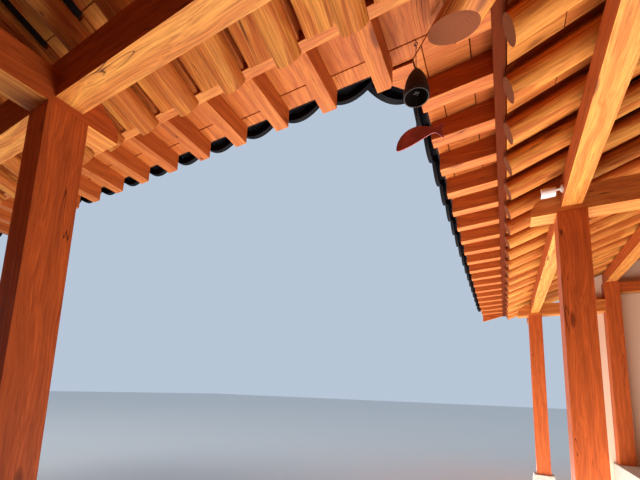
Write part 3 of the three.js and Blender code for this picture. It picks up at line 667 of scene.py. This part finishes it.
def to_mesh(shell, side="right", gap=None):
    """The shell as a bmesh in its place, cut off at gap from the plane through valley and hip."""
    made = bmesh.new()
    uv = made.loops.layers.uv.new("UVMap")
    shade = made.faces.layers.float.new("shade")
    points = [made.verts.new(p) for p in shell.points]
    used = 0
    for face, level, finish in zip(shell.faces, shell.shades, shell.finishes):
        built = made.faces.new([points[k] for k in face])
        built[shade] = level
        built.material_index = finish
        for loop in built.loops:
            loop[uv].uv = shell.places[used]
            used += 1
    bmesh.ops.remove_doubles(made, verts=made.verts, dist=1e-5)
    if gap is not None:
        closed = not any(edge.is_boundary for edge in made.edges)
        everything = made.verts[:] + made.edges[:] + made.faces[:]
        bmesh.ops.bisect_plane(made, geom=everything, plane_co=VALLEY * gap, plane_no=VALLEY,
                               clear_inner=True, dist=1e-6)
        open_edges = [e for e in made.edges if e.is_boundary]
        if closed and open_edges:
            bmesh.ops.holes_fill(made, edges=open_edges, sides=0)
    if side == "left":
        made.transform(MIRROR)
        bmesh.ops.reverse_faces(made, faces=made.faces)
    made.transform(Matrix.Translation(HOUSE_PLACE))
    return made


def to_back(shell, side, gap):
    """The shell on the far side of the ridge, cut at the hip."""
    for point in shell.points:
        point.x = ROOF_WIDTH - point.x
    made = to_mesh(shell, side, gap)
    bmesh.ops.reverse_faces(made, faces=made.faces)
    return made


def facing_out(made):
    bmesh.ops.recalc_face_normals(made, faces=made.faces)
    return made


def finish_piece(name, meshes, materials, replaced=(), body="house", soften=0.0, smooth=35.0):
    """Joins bmeshes into one piece of the scene that rides on a body."""
    data = bpy.data.meshes.new(name)
    whole = meshes[0]
    for other in meshes[1:]:
        part = bpy.data.meshes.new("part")
        other.to_mesh(part)
        whole.from_mesh(part)
        bpy.data.meshes.remove(part)
        other.free()
    whole.to_mesh(data)
    whole.free()
    piece = bpy.data.objects.new(name, data)
    bpy.context.scene.collection.objects.link(piece)
    for material in materials:
        data.materials.append(material)
    if smooth:
        data.polygons.foreach_set("use_smooth", [True] * len(data.polygons))
        data.set_sharp_from_angle(angle=math.radians(smooth))
    if soften:
        add_soft_edges(piece, soften)
    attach(piece, body)
    if replaced:
        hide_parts(*replaced)
    return piece


def add_soft_edges(piece, width):
    bevel = piece.modifiers.new("soft_edges", "BEVEL")
    bevel.width = width
    bevel.segments = 2
    bevel.limit_method = "ANGLE"
    bevel.angle_limit = math.radians(40)


def thicken(piece):
    solidify = piece.modifiers.new("thickness", "SOLIDIFY")
    solidify.thickness = TILE_THICKNESS
    solidify.offset = -1


def dress(node, material, soften=0.0):
    """Gives a CAD node its finish, and softened edges where asked."""
    node.data.materials.clear()
    node.data.materials.append(material)
    if soften:
        add_soft_edges(node, soften)


# Roof levels, each at a place x across the wing
def rafter_underside(x):
    return TIP_UNDERSIDE + SLOPE * (x - TIP)


def deck_underside(x):
    return rafter_underside(x) + sizes().rafter * SLANT


def flying_top(x):
    return BOARDS_LEVEL + BOARDS_RISE * (x - BOARDS_TIP) / (BOARDS_HEEL - BOARDS_TIP)


def tile_top(x):
    straight = EAVE_TOP + (RIDGE_TOP - EAVE_TOP) * (x - EAVE) / (RIDGE - EAVE)
    hollow = (x - EAVE) / (SAG[0] - EAVE) if x < SAG[0] else (RIDGE - x) / (RIDGE - SAG[0])
    return straight - SAG[1] * hollow


def rafter_places(side, lowest):
    """Where the rafters of a wing stand along it, from the first past lowest to the gable."""
    places = [FIRST_RAFTER[side] + sizes().spacing * k for k in range(-24, 40)]
    return [y for y in places if lowest < y < WING_END[side] - GABLE_MARGIN]


def bays(side, lowest):
    """Start and end of each board field from rafter to rafter, with four more towards the corner."""
    gap = sizes().spacing
    places = rafter_places(side, lowest)
    for y in [places[0] - gap * k for k in range(4, 0, -1)] + places:
        last = y + gap > WING_END[side] - GABLE_MARGIN
        yield y, (WING_END[side] if last else y + gap), last


def rafter_shell(side, tip, lowest, rng):
    shell = Shell()
    radius = sizes().rafter / 2
    for y in rafter_places(side, lowest):
        lift = radius * SLANT
        start = (tip, y, rafter_underside(tip) + lift)
        end = (RIDGE - SEAM, y, rafter_underside(RIDGE) + lift)
        shell.log(start, end, radius, 24, rng.random() * 0.5, radius * 0.97)
    return shell


def board_rows(low, high, width):
    count = max(1, round((high - low) / width))
    return [(low + (high - low) * k / count, low + (high - low) * (k + 1) / count) for k in range(count)]


def deck_board(shell, low, high, near, far, underside, thickness, shade):
    """One board with its grain up the slope, between two places along the wing."""
    joint = sizes().joint / 2
    a, b = low + joint, high - joint
    outline = [(x, underside(x) + rise) for x, rise in ((a, 0), (b, 0), (b, thickness), (a, thickness))]
    shell.prism(outline, near, far, shade)


def deck_shell(side, tip, lowest, rng):
    """Boards between the rafters, with a shadow gap on the side of each rafter that faces the corner."""
    shell = Shell()
    half = sizes().rafter / 2
    for y, far, last in bays(side, lowest):
        if not last:
            far = far - half - DECK_SHADOW_GAP
        for low, high in board_rows(tip, RIDGE - DECK_JOINT, sizes().board):
            deck_board(shell, low, high, y - DECK_LAP, far, lambda x: deck_underside(x) - DECK_SINK,
                       sizes().deck, rng.random())
    return shell


class HANOK_OT_rafters(bpy.types.Operator):
    """Round rafters and the boards between them, on both slopes of both wings"""
    bl_idname = "hanok.rafters"
    bl_label = "Round rafters"

    def execute(self, context):
        woods = [rafter_timber(), end_grain()]
        for side, seed in (("right", 11), ("left", 12)):
            rng = random.Random(seed)
            logs = to_mesh(rafter_shell(side, TIP, COURT_RAFTERS_FROM, rng), side, VALLEY_LOG_GAP)
            deck = to_mesh(deck_shell(side, DECK_TIP, -RIDGE, rng), side, SEAM)
            finish_piece(f"{side}_court_rafters_finish", [logs, deck], woods,
                         [f"{side}_court_rafters"])
            logs = to_back(rafter_shell(side, BACK_TIP, BACK_RAFTERS_FROM, rng), side, HIP_LOG_GAP)
            deck = to_back(deck_shell(side, BACK_DECK_TIP, -ROOF_WIDTH, rng), side, SEAM)
            finish_piece(f"{side}_back_rafters_finish", [logs, deck], woods,
                         [f"{side}_back_rafters"])
        return {"FINISHED"}


def flying_shell(side, rng):
    """Square rafters that rest on the deck's edge and end in the open."""
    shell = Shell()
    half = sizes().flying_width / 2
    seat = deck_underside(FLYING_SEAT) + FLYING_SEAT_LIFT
    heel = deck_underside(FLYING_HEEL) + FLYING_HEEL_LIFT
    for y in rafter_places(side, FLYING_FROM):
        foot = FLYING_FOOT + rng.uniform(-FLYING_PLAY, FLYING_PLAY)
        outline = [(FLYING_TIP, foot), (FLYING_SEAT, seat), (FLYING_HEEL, heel),
                   (FLYING_HEEL, flying_top(FLYING_HEEL)), (FLYING_TIP, flying_top(FLYING_TIP))]
        shell.prism(outline, y - half, y + half, rng.random() * 0.5)
    return shell


def flying_boards_shell(side, rng):
    """Four boards in each bay; the third one from the eave is the dark one."""
    shell = Shell()
    for y, far, _ in bays(side, FLYING_FROM):
        joints = [BOARDS_TIP, rng.uniform(*FIRST_JOINT), DARK_BOARD, LAST_JOINT, BOARDS_HEEL]
        for low, high in zip(joints, joints[1:]):
            shade = 1.3 if low == DARK_BOARD else 0.8 * rng.random()
            deck_board(shell, low, high, y + DECK_JOINT, far - DECK_JOINT, flying_top, FLYING_DECK, shade)
    return shell


class HANOK_OT_flying_rafters(bpy.types.Operator):
    """Square flying rafters with the eave batten and their boards"""
    bl_idname = "hanok.flying_rafters"
    bl_label = "Flying rafters"

    def execute(self, context):
        for side, seed in (("right", 21), ("left", 22)):
            rng = random.Random(seed)
            bars = to_mesh(flying_shell(side, rng), side, VALLEY_LOG_GAP)
            boards = to_mesh(flying_boards_shell(side, rng), side, SEAM)
            finish_piece(f"{side}_flying_rafters_finish", [bars, boards], [eave_timber(), end_grain()],
                         [f"{side}_flying_rafters"], soften=0.003, smooth=30)
            batten = Shell()
            batten.long_prism(BATTEN, BATTEN_FROM, WING_END[side], shade=0.6)
            # Painted shade: the right batten gets the darker copy, the left one the rafters' timber.
            wood = batten_timber() if side == "right" else rafter_timber()
            finish_piece(f"{side}_eave_batten", [to_mesh(batten, side, VALLEY_LOG_GAP)],
                         [wood, end_grain()], soften=0.003, smooth=30)
        return {"FINISHED"}


def valley_log_shell():
    """The log along the valley line x = -y, bent once over the corner, with its tip cut back."""
    shell = Shell()
    sides = 28
    turns = turns_of(sides)
    drop = LOG_RADIUS + LOG_HEADROOM
    axis = [(LOG_TIP, LOG_TIP_AXIS)] + [(s, deck_underside(s) - drop) for s in (0.0, LOG_HEAD)]
    rings = []
    for s, z in axis:
        ring = []
        for t in turns:
            across, up = LOG_RADIUS * math.cos(t) / math.sqrt(2), LOG_RADIUS * math.sin(t)
            back = LOG_CUT * (LOG_RADIUS - up) / (2 * LOG_RADIUS) if s == LOG_TIP else 0
            ring.append(Vector((s + back + across, -s - back + across, z + up + LOG_CUT_LIFT * back)))
        rings.append(ring)
    run = 0.0
    for near, far in zip(rings, rings[1:]):
        end = run + (far[0] - near[0]).length
        for k in range(sides):
            low, high = LOG_RADIUS * turns[k], LOG_RADIUS * turns[k + 1]
            shell.face([near[k + 1], near[k], far[k], far[k + 1]],
                       [(run, high), (run, low), (end, low), (end, high)], shade=0.1)
        run = end
    cap = [(LOG_RADIUS * math.cos(t), LOG_RADIUS * math.sin(t)) for t in turns[:-1]]
    shell.face(rings[0][:-1], cap, shade=0.2, finish=1)
    shell.face(rings[-1][:-1][::-1], cap[::-1], shade=0.2, finish=1)
    return shell


def add_corner(shell, form, shade):
    """A flat triangle that closes the corner where the two eaves meet."""
    edge, point = form["edge"], form["point"]
    plan = [(-edge, edge), (-point, edge), (-edge, point)]
    shell.between([(x, y, form["low"]) for x, y in plan], [(x, y, form["high"]) for x, y in plan], shade)


def corner_tile_shell():
    """The wide tile over the corner, with its lobe hanging across the valley."""
    shell = Shell()
    add_corner(shell, CORNER_TILE, shade=0.1)
    across = [-1 + k / 8 for k in range(17)]
    edge = [(LOBE["half"] * u, LOBE["top"]) for u in across]
    edge += [(LOBE["half"] * u, LOBE["low"] - LOBE["drop"] * (1 - u * u)) for u in reversed(across)]
    front, back = ([(u - reach, u + reach, z) for u, z in edge] for reach in (LOBE["front"], LOBE["back"]))
    shell.between(front, back, shade=0.1)
    return shell


class HANOK_OT_valley(bpy.types.Operator):
    """The log under the valley with its slanted tip, and the board and tile that close the eave's corner"""
    bl_idname = "hanok.valley"
    bl_label = "Valley"

    def execute(self, context):
        finish_piece("valley_rafter_finish", [to_mesh(valley_log_shell())], [rafter_timber(), end_grain()],
                     ["valley_rafter"], smooth=40)
        board = Shell()
        add_corner(board, CORNER_BOARD, shade=0.7)
        finish_piece("valley_eave_board", [facing_out(to_mesh(board))], [eave_timber(), end_grain()])
        finish_piece("valley_eave_tile", [facing_out(to_mesh(corner_tile_shell()))], [clay()],
                     smooth=40)
        return {"FINISHED"}


def tile_columns(start, end):
    """Places along the wing and heights under the tiles' upper side, over each roll and pan."""
    pitch, roll = sizes().tile_pitch, sizes().roll
    columns = []
    y = start
    while y < end + pitch:
        columns += [(y - roll * math.cos(t), -ROLL_SEAT + roll * math.sin(t)) for t in half_turn(6)]
        for k in range(1, 6):
            sink = PAN_DEPTH * math.sin(math.pi * (k / 6))
            columns.append((y + roll + (pitch - 2 * roll) * (k / 6), -ROLL_SEAT - sink))
        y += pitch
    return [c for c in columns if c[0] < end - 0.001] + [(end, -GABLE_TILE_DEPTH)]


def tile_shade(half_pitches, row):
    """A fixed number from 0 to 1 for each tile, spread as if at random."""
    return (math.sin(12.9898 * half_pitches + 78.233 * row) * 43758.5453) % 1


def tile_shell(side, near, lowest):
    """Cover and pan tiles of one slope: arcs between round rolls, each tile lapping the one below."""
    shell = Shell()
    pitch = sizes().tile_pitch
    offset = FIRST_RAFTER[side] + ROLL_OFFSET
    start = offset + pitch * math.floor((lowest - offset) / pitch)
    columns = tile_columns(start, WING_END[side])
    rows = board_rows(near, RIDGE, sizes().tile_length / SLANT)
    for row, (low, high) in enumerate(rows):
        a, b = tile_top(low), tile_top(high) - TILE_LAP
        for (ya, za), (yb, zb) in zip(columns, columns[1:]):
            shade = tile_shade(round((ya - start) / pitch * 2), row)
            shell.face([(low, ya, a + za), (high, ya, b + za), (high, yb, b + zb), (low, yb, a + zb)],
                       [(low, ya), (high, ya), (high, yb), (low, yb)], shade)
            if row:
                shell.face([(low, ya, a + za), (low, yb, a + zb), (low, yb, a + zb - TILE_LAP),
                            (low, ya, a + za - TILE_LAP)],
                           [(low, ya), (low, yb), (low, yb), (low, ya)], shade)
    return shell


def hanging_edge(middle, half, top, drops, places):
    """A curve under a pan; drops gives its depth at the sides and how much deeper its middle is."""
    at_sides, belly = drops
    return [(middle + half * u, top - at_sides - belly * (1 - u * u)) for u in places]


def eave_tile_shell(side, edge, lowest):
    """Hanging plates under the pans and round discs before the rolls, along the edge of a slope."""
    shell = Shell()
    pitch, radius = sizes().tile_pitch, sizes().roll + DISC_MARGIN
    top = tile_top(edge)
    first = FIRST_RAFTER[side] + ROLL_OFFSET
    y = first - pitch * math.floor((first - lowest) / pitch)
    half = pitch / 2 - PLATE_MARGIN
    first_turn, last_turn = DISC_ARC
    turns = [math.radians(first_turn + (last_turn - first_turn) * k / 18) for k in range(19)]
    across = [-1 + k / 7 for k in range(15)]
    while y < WING_END[side] - sizes().roll:
        disc = [(y + radius * math.cos(t), top - ROLL_SEAT + radius * math.sin(t)) for t in turns]
        shell.plate(disc, *(edge + reach for reach in DISC_PLACE), shade=0.3)
        middle = y + pitch / 2
        if middle + half < WING_END[side]:
            outline = hanging_edge(middle, half, top, PLATE_TOP, across)
            outline += hanging_edge(middle, half, top, PLATE_FOOT, across[::-1])
            shell.plate(outline, *(edge + reach for reach in PLATE_PLACE), shade=0.1)
        y += pitch
    return shell


def bed_shell(side, foot, tip, lowest):
    """Earth between the boards and the tiles; foot gives its underside as far as the boards' slope."""
    ridge = [(RIDGE, deck_underside(RIDGE) + BED_FOOT), (RIDGE, tile_top(RIDGE) - BED_RIDGE_COVER)]
    cover = [(x, tile_top(x) - BED_COVER) for x in (SAG[0], tip)]
    shell = Shell()
    shell.prism(foot + ridge + cover, lowest, WING_END[side])
    return shell


class HANOK_OT_tiles(bpy.types.Operator):
    """Cover and pan tiles on the four slopes"""
    bl_idname = "hanok.tiles"
    bl_label = "Roof tiles"

    def execute(self, context):
        court_foot = [*COURT_BED, (BOARDS_HEEL + 0.0002, deck_underside(BOARDS_HEEL) + BED_FOOT)]
        back_foot = [(BACK_BED_FOOT, deck_underside(BACK_BED_FOOT) + BED_FOOT)]
        for side in ("right", "left"):
            self.cover(side, "court", to_mesh, tile_shell(side, EAVE, COURT_TILES_FROM),
                       eave_tile_shell(side, EAVE, COURT_EAVE_TILES_FROM),
                       bed_shell(side, court_foot, COURT_BED[0][0], -RIDGE))
            self.cover(side, "back", to_back, tile_shell(side, BACK_TILE_TIP, -ROOF_WIDTH),
                       eave_tile_shell(side, BACK_EAVE, BACK_EAVE_TILES_FROM),
                       bed_shell(side, back_foot, BACK_BED_TIP, -ROOF_WIDTH))
        return {"FINISHED"}

    def cover(self, side, slope, put, tiles, edge, bed):
        """Puts one slope's tiles, its edge and its bed in their place."""
        thicken(finish_piece(f"{side}_{slope}_tiles_finish", [put(tiles, side, SEAM)], [clay()],
                             [f"{side}_{slope}_tiles"], smooth=50))
        finish_piece(f"{side}_{slope}_eave_tiles", [facing_out(put(edge, side, SEAM))], [clay()],
                     smooth=40)
        finish_piece(f"{side}_{slope}_tile_bed", [put(bed, side, SEAM)], [tile_bed()], smooth=0)


def ridge_shell(side):
    """Four stacked courses, round caps on them, and a foot down to the bed."""
    shell = Shell()
    end = WING_END[side] + RIDGE_OVERHANG
    for half, foot in RIDGE_COURSES:
        base = RIDGE_TOP - COURSE_SINK + foot
        crown, inner = base + COURSE_HEIGHT, half - COURSE_TAPER
        shell.long_prism([(RIDGE - half, base), (RIDGE + half, base), (RIDGE + inner, crown),
                          (RIDGE - inner, crown)], RIDGE_START, end, shade=0.3)
    top = RIDGE_TOP + CAP_SEAT
    outline = [(RIDGE + CAP_RADIUS * math.cos(t), top + CAP_RADIUS * math.sin(t)) for t in half_turn(10)]
    y = RIDGE_START
    while y < end:
        reach = min(y + CAP_LENGTH, end)
        shell.long_prism(outline, y + CAP_JOINT, reach, shade=0.2 + 0.6 * ((y * 7.3) % 1))
        y = reach
    foot = RIDGE_TOP - RIDGE_FOOT
    low, high = RIDGE_FOOT_HALF
    shell.long_prism([(RIDGE - low, foot), (RIDGE + low, foot), (RIDGE + high, top), (RIDGE - high, top)],
                     RIDGE_START + 0.01, end - 0.01)
    return shell


def hip_shell():
    """Capped courses down the hip line, in lengths with a small step at each joint."""
    shell = Shell()
    cap = [(HIP_CAP_RADIUS * math.cos(t), HIP_CAP_SEAT + HIP_CAP_RADIUS * math.sin(t)) for t in half_turn(8)]
    mirrored = [(-width, height) for width, height in HIP_COURSES]
    section = [mirrored[0], *HIP_COURSES, *cap, *mirrored[:0:-1]]
    stations = [(s, tile_top(ROOF_WIDTH - s)) for s in HIP_PLACES]
    for (a, za), (b, zb) in zip(stations, stations[1:]):
        count = max(1, round((b - a) * math.sqrt(2) / CAP_LENGTH))
        for k in range(count):
            s0, s1 = a + (b - a) * k / count, a + (b - a) * (k + 1) / count
            z0, z1 = za + (zb - za) * k / count, za + (zb - za) * (k + 1) / count
            near, far = ([Vector((s + c / math.sqrt(2), -s + c / math.sqrt(2), z + h)) for c, h in section]
                         for s, z in ((s0, z0 + HIP_STEP[0]), (s1, z1 + HIP_STEP[1])))
            for i in range(len(section)):
                j = (i + 1) % len(section)
                shell.face([near[j], near[i], far[i], far[j]], [(s0, j), (s0, i), (s1, i), (s1, j)],
                           shade=0.3 + 0.4 * (k % 2))
            shell.face(near, section, shade=0.3)
            shell.face(far[::-1], section[::-1], shade=0.3)
    return shell


class HANOK_OT_ridges(bpy.types.Operator):
    """Stacked ridge courses with round caps on the ridges and the hip"""
    bl_idname = "hanok.ridges"
    bl_label = "Ridges"

    def execute(self, context):
        for side in ("right", "left"):
            finish_piece(f"{side}_ridge_finish", [to_mesh(ridge_shell(side), side, SEAM)], [clay(), clay()],
                         [f"{side}_ridge_cap"], soften=0.003, smooth=30)
        finish_piece("hip_finish", [to_mesh(hip_shell())], [clay()], ["hip_cap"], smooth=30)
        return {"FINISHED"}


# Turned and bent pieces of the bell and the camera
def turned(profile, sides, centre):
    """A turned body from radius and height pairs, closed where the radius is zero."""
    made = bmesh.new()
    uv = made.loops.layers.uv.new("UVMap")
    rings = []
    for radius, height in profile:
        turns = turns_of(sides)[:-1] if radius else [0.0]
        spots = [Vector((radius * math.cos(t), radius * math.sin(t), height)) for t in turns]
        rings.append([made.verts.new(centre + spot) for spot in spots])
    for low, high in zip(rings, rings[1:]):
        for k in range(sides):
            j = (k + 1) % sides
            if len(low) == 1:
                built = made.faces.new([low[0], high[j], high[k]])
            elif len(high) == 1:
                built = made.faces.new([low[k], low[j], high[0]])
            else:
                built = made.faces.new([low[k], low[j], high[j], high[k]])
            for loop in built.loops:
                loop[uv].uv = (loop.vert.co.x, loop.vert.co.z)
    return made


def ring_link(centre, across_x):
    """A small wire ring, lying across the x axis or along it."""
    made = bmesh.new()
    grid = []
    flat = Vector((1, 0, 0)) if across_x else Vector((0, 1, 0))
    for t in turns_of(28)[:-1]:
        out = Vector((0, math.cos(t), math.sin(t))) if across_x else Vector((math.cos(t), 0, math.sin(t)))
        grid.append([made.verts.new(centre + out * (RING_RADIUS + RING_WIRE * math.cos(s))
                                    + flat * RING_WIRE * math.sin(s)) for s in turns_of(10)[:-1]])
    for i in range(len(grid)):
        a, b = grid[i], grid[(i + 1) % len(grid)]
        for k in range(len(a)):
            j = (k + 1) % len(a)
            made.faces.new([a[k], b[k], b[j], a[j]])
    return facing_out(made)


def rod(start, end, radius, sides=12):
    made = bmesh.new()
    along = (end - start).normalized()
    side = along.orthogonal().normalized()
    lift = along.cross(side)
    near, far = ([made.verts.new(p + (side * math.cos(t) + lift * math.sin(t)) * radius)
                  for t in turns_of(sides)[:-1]] for p in (start, end))
    for k in range(sides):
        j = (k + 1) % sides
        made.faces.new([near[k], near[j], far[j], far[k]])
    made.faces.new(near[::-1])
    made.faces.new(far)
    return made


def at_bell(x, y, z):
    return BELL + Vector((x, y, z))


def hanger(level, foot):
    """A ring that hangs in another at a level, and the wire down from it to a foot."""
    eye = level - RING_DROP
    wire = rod(at_bell(0, 0, foot), at_bell(0, 0, eye - RING_RADIUS), WIRE)
    return [ring_link(at_bell(0, 0, eye), True), wire]


def fish_mesh():
    """The flat fish on edge under the bell."""
    plate = bmesh.new()
    front, rear = ([plate.verts.new(at_bell(x / 1000, y, z / 1000)) for x, z in FISH]
                   for y in (-FISH_HALF, FISH_HALF))
    plate.faces.new(front[::-1])
    plate.faces.new(rear)
    for k in range(len(FISH)):
        j = (k + 1) % len(FISH)
        plate.faces.new([front[k], front[j], rear[j], rear[k]])
    return facing_out(plate)


class HANOK_OT_bell(bpy.types.Operator):
    """Wind bell on its wire with the clapper rod and the fish plate"""
    bl_idname = "hanok.bell"
    bl_label = "Wind bell"

    def execute(self, context):
        iron = metal("bell_iron", tuple(colours().iron), roughness=0.5, metallic=0.3)
        fish_metal = metal("fish_metal", tuple(colours().fish), roughness=0.5, metallic=0.55, scratch=18.0)
        dress(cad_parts["bell_hook"], iron)
        bell = [turned(BELL_INSIDE + BELL_OUTSIDE, 64, BELL), *hanger(HOOK_LEVEL, WIRE_FOOT),
                ring_link(at_bell(0, 0, CROWN_LEVEL), False)]
        finish_piece("wind_bell_finish", bell, [iron], ["wind_bell"], "bell", smooth=40)
        finish_piece("fish_plate_finish", [fish_mesh()], [fish_metal], ["fish_plate"],
                     "clapper", smooth=40)
        x, y = STRIKER_REACH
        rods = [*hanger(CROWN_LEVEL, FISH_EYE),
                rod(at_bell(-x, 0, STRIKER_LEVEL), at_bell(x, 0, STRIKER_LEVEL), STRIKER_RADIUS),
                rod(at_bell(0, -y, STRIKER_LEVEL), at_bell(0, y, STRIKER_LEVEL), STRIKER_RADIUS)]
        finish_piece("clapper_rod_finish", rods, [iron], body="clapper", smooth=40)
        return {"FINISHED"}


class HANOK_OT_camera(bpy.types.Operator):
    """Small white eave camera with its bracket and lens"""
    bl_idname = "hanok.eave_camera"
    bl_label = "Eave camera"

    def execute(self, context):
        low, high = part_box("eave_camera")
        shell = plain("camera_shell", tone(236, 226, 222), 0.38)
        glass = plain("camera_lens", tone(14, 14, 18), 0.08, **{"Coat Weight": 1.0})
        mount = Vector((high.x, (low.y + high.y) / 2, BEAM_LEVEL + CAMERA_LEVEL))

        def turned_part(radius, start, end, height):
            return rod(mount + Vector((start, 0, height)), mount + Vector((end, 0, height)), radius, 32)

        finish_piece("eave_camera_finish", [turned_part(*part) for part in CAMERA_PARTS], [shell],
                     ["eave_camera"], soften=0.002)
        finish_piece("eave_camera_lens", [turned_part(*CAMERA_LENS)], [glass])
        return {"FINISHED"}


class HANOK_OT_timbers(bpy.types.Operator):
    """Finish and softened edges of posts, beams, frames and gable boards"""
    bl_idname = "hanok.timbers"
    bl_label = "Posts and beams"

    def execute(self, context):
        soft = sizes().softening
        upright = timber("post_timber", "ZXY")
        with_y = timber("beam_timber_y", "YXZ")
        with_x = timber("beam_timber_x", "XYZ")
        cross_x = timber("cross_timber_x", "XYZ", pale=0.35)
        shaded_y = timber("shaded_timber_y", "YXZ", dark=0.1)
        shaded_x = timber("shaded_timber_x", "XYZ", dark=0.1)
        for name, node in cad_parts.items():
            mirrored = name.startswith("left")
            if "post" in name:
                dress(node, upright, soft)
            elif "tie_beam" in name:
                dress(node, with_x if mirrored else with_y, soft)
            elif "cross_beam" in name:
                dress(node, with_y if mirrored else cross_x, soft)
            elif "purlin" in name or "inner_beam" in name:
                dress(node, shaded_x if mirrored else shaded_y, soft)
            elif "gable_board" in name:
                dress(node, with_y if mirrored else with_x, soft)
            elif name in ("roof_frame", "back_frame", "hip_rafter"):
                dress(node, with_x, soft)
        return {"FINISHED"}


class HANOK_OT_walls(bpy.types.Operator):
    """Plastered walls, stone terrace and base stones"""
    bl_idname = "hanok.walls"
    bl_label = "Walls and stones"

    def execute(self, context):
        for name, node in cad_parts.items():
            if "wall" in name:
                dress(node, plaster(), 0.004)
            elif "stone" in name:
                dress(node, granite(), 0.012)
        return {"FINISHED"}


def add_floor(scene):
    mesh = bpy.data.meshes.new("floor")
    near, far = -FLOOR_REACH, FLOOR_REACH
    corners = [(x, y, FLOOR_LEVEL) for x, y in ((near, near), (far, near), (far, far), (near, far))]
    mesh.from_pydata(corners, [], [(0, 1, 2, 3)])
    floor = bpy.data.objects.new("floor", mesh)
    scene.collection.objects.link(floor)
    mesh.materials.append(plain("floor", (0.72, 0.71, 0.69), 0.9))


def add_sky(scene):
    world = bpy.data.worlds.new("studio")
    world.use_nodes = True
    background = world.node_tree.nodes["Background"]
    background.inputs["Color"].default_value = (0.70, 0.83, 1.0, 1)
    background.inputs["Strength"].default_value = 0.68
    scene.world = world


def add_light(name, place, aim, size, power, tint):
    data = bpy.data.lights.new(name, "AREA")
    data.shape = "DISK"
    data.size = size
    data.energy = power
    data.color = tint
    light = bpy.data.objects.new(name, data)
    bpy.context.scene.collection.objects.link(light)
    light.location = place
    light.rotation_euler = (aim - place).to_track_quat("-Z", "Y").to_euler()
    light.visible_camera = False


def add_camera(scene):
    """The camera under the left gallery, as the photograph was taken."""
    data = bpy.data.cameras.new("camera")
    camera = bpy.data.objects.new("camera", data)
    scene.collection.objects.link(camera)
    data.sensor_width = 36.0
    data.lens = VIEW_LENS
    data.shift_y = VIEW_SHIFT
    data.clip_start = 0.05
    ahead = Vector((-math.sin(VIEW_YAW) * math.cos(VIEW_PITCH), math.cos(VIEW_YAW) * math.cos(VIEW_PITCH),
                    math.sin(VIEW_PITCH)))
    level = Vector((math.cos(VIEW_YAW), math.sin(VIEW_YAW), 0))
    above = level.cross(ahead)
    right = level * math.cos(VIEW_ROLL) + above * math.sin(VIEW_ROLL)
    up = above * math.cos(VIEW_ROLL) - level * math.sin(VIEW_ROLL)
    turn = Matrix((right, up, -ahead)).transposed().to_4x4()
    camera.matrix_world = Matrix.Translation(HOUSE_PLACE + VIEW_PLACE) @ turn
    scene.camera = camera


class HANOK_OT_stage(bpy.types.Operator):
    """Pale floor, soft light and the camera under the left gallery"""
    bl_idname = "hanok.stage"
    bl_label = "Stage"

    def execute(self, context):
        scene = context.scene
        add_floor(scene)
        add_sky(scene)
        scene.view_settings.view_transform = "Standard"
        court = CORNER + Vector((-1.6, 4.3, 0))
        gallery = CORNER + Vector((0.45, 1.2, 0))
        overhead = Vector((0, 0, 5))
        add_light("court_glow", court + Vector((0, 0, 0.05)), court + overhead, size=7.0, power=530,
                  tint=WARM_LIGHT)
        add_light("gallery_glow", gallery + Vector((0, 0, 0.03)), gallery + overhead, size=1.5, power=58,
                  tint=WARM_LIGHT)
        add_light("key", Vector((-9, -11, 12)), Vector((0, 0, 1)), size=8.0, power=1000,
                  tint=(1.0, 0.98, 0.95))
        add_camera(scene)
        return {"FINISHED"}


class HANOK_PT_panel(bpy.types.Panel):
    """Lists the pieces, their sizes and colours"""
    bl_idname = "HANOK_PT_panel"
    bl_label = "Hanok"
    bl_space_type = "VIEW_3D"
    bl_region_type = "UI"
    bl_category = "Hanok"

    def draw(self, context):
        for operator in OPERATORS:
            self.layout.operator(operator.bl_idname)
        for group in (context.scene.hanok_sizes, context.scene.hanok_colours):
            for key in group.__annotations__:
                self.layout.prop(group, key)


OPERATORS = (HANOK_OT_stage, HANOK_OT_timbers, HANOK_OT_walls, HANOK_OT_rafters, HANOK_OT_flying_rafters,
             HANOK_OT_valley, HANOK_OT_tiles, HANOK_OT_ridges, HANOK_OT_bell, HANOK_OT_camera)
CLASSES = (HanokSizes, HanokColours, *OPERATORS, HANOK_PT_panel)


def register():
    for cls in CLASSES:
        bpy.utils.register_class(cls)
    bpy.types.Scene.hanok_sizes = PointerProperty(type=HanokSizes)
    bpy.types.Scene.hanok_colours = PointerProperty(type=HanokColours)


def unregister():
    del bpy.types.Scene.hanok_sizes
    del bpy.types.Scene.hanok_colours
    for cls in reversed(CLASSES):
        bpy.utils.unregister_class(cls)


def main():
    register()
    for operator in OPERATORS:
        group, action = operator.bl_idname.split(".")
        getattr(getattr(bpy.ops, group), action)()


if __name__ == "__main__":
    main()
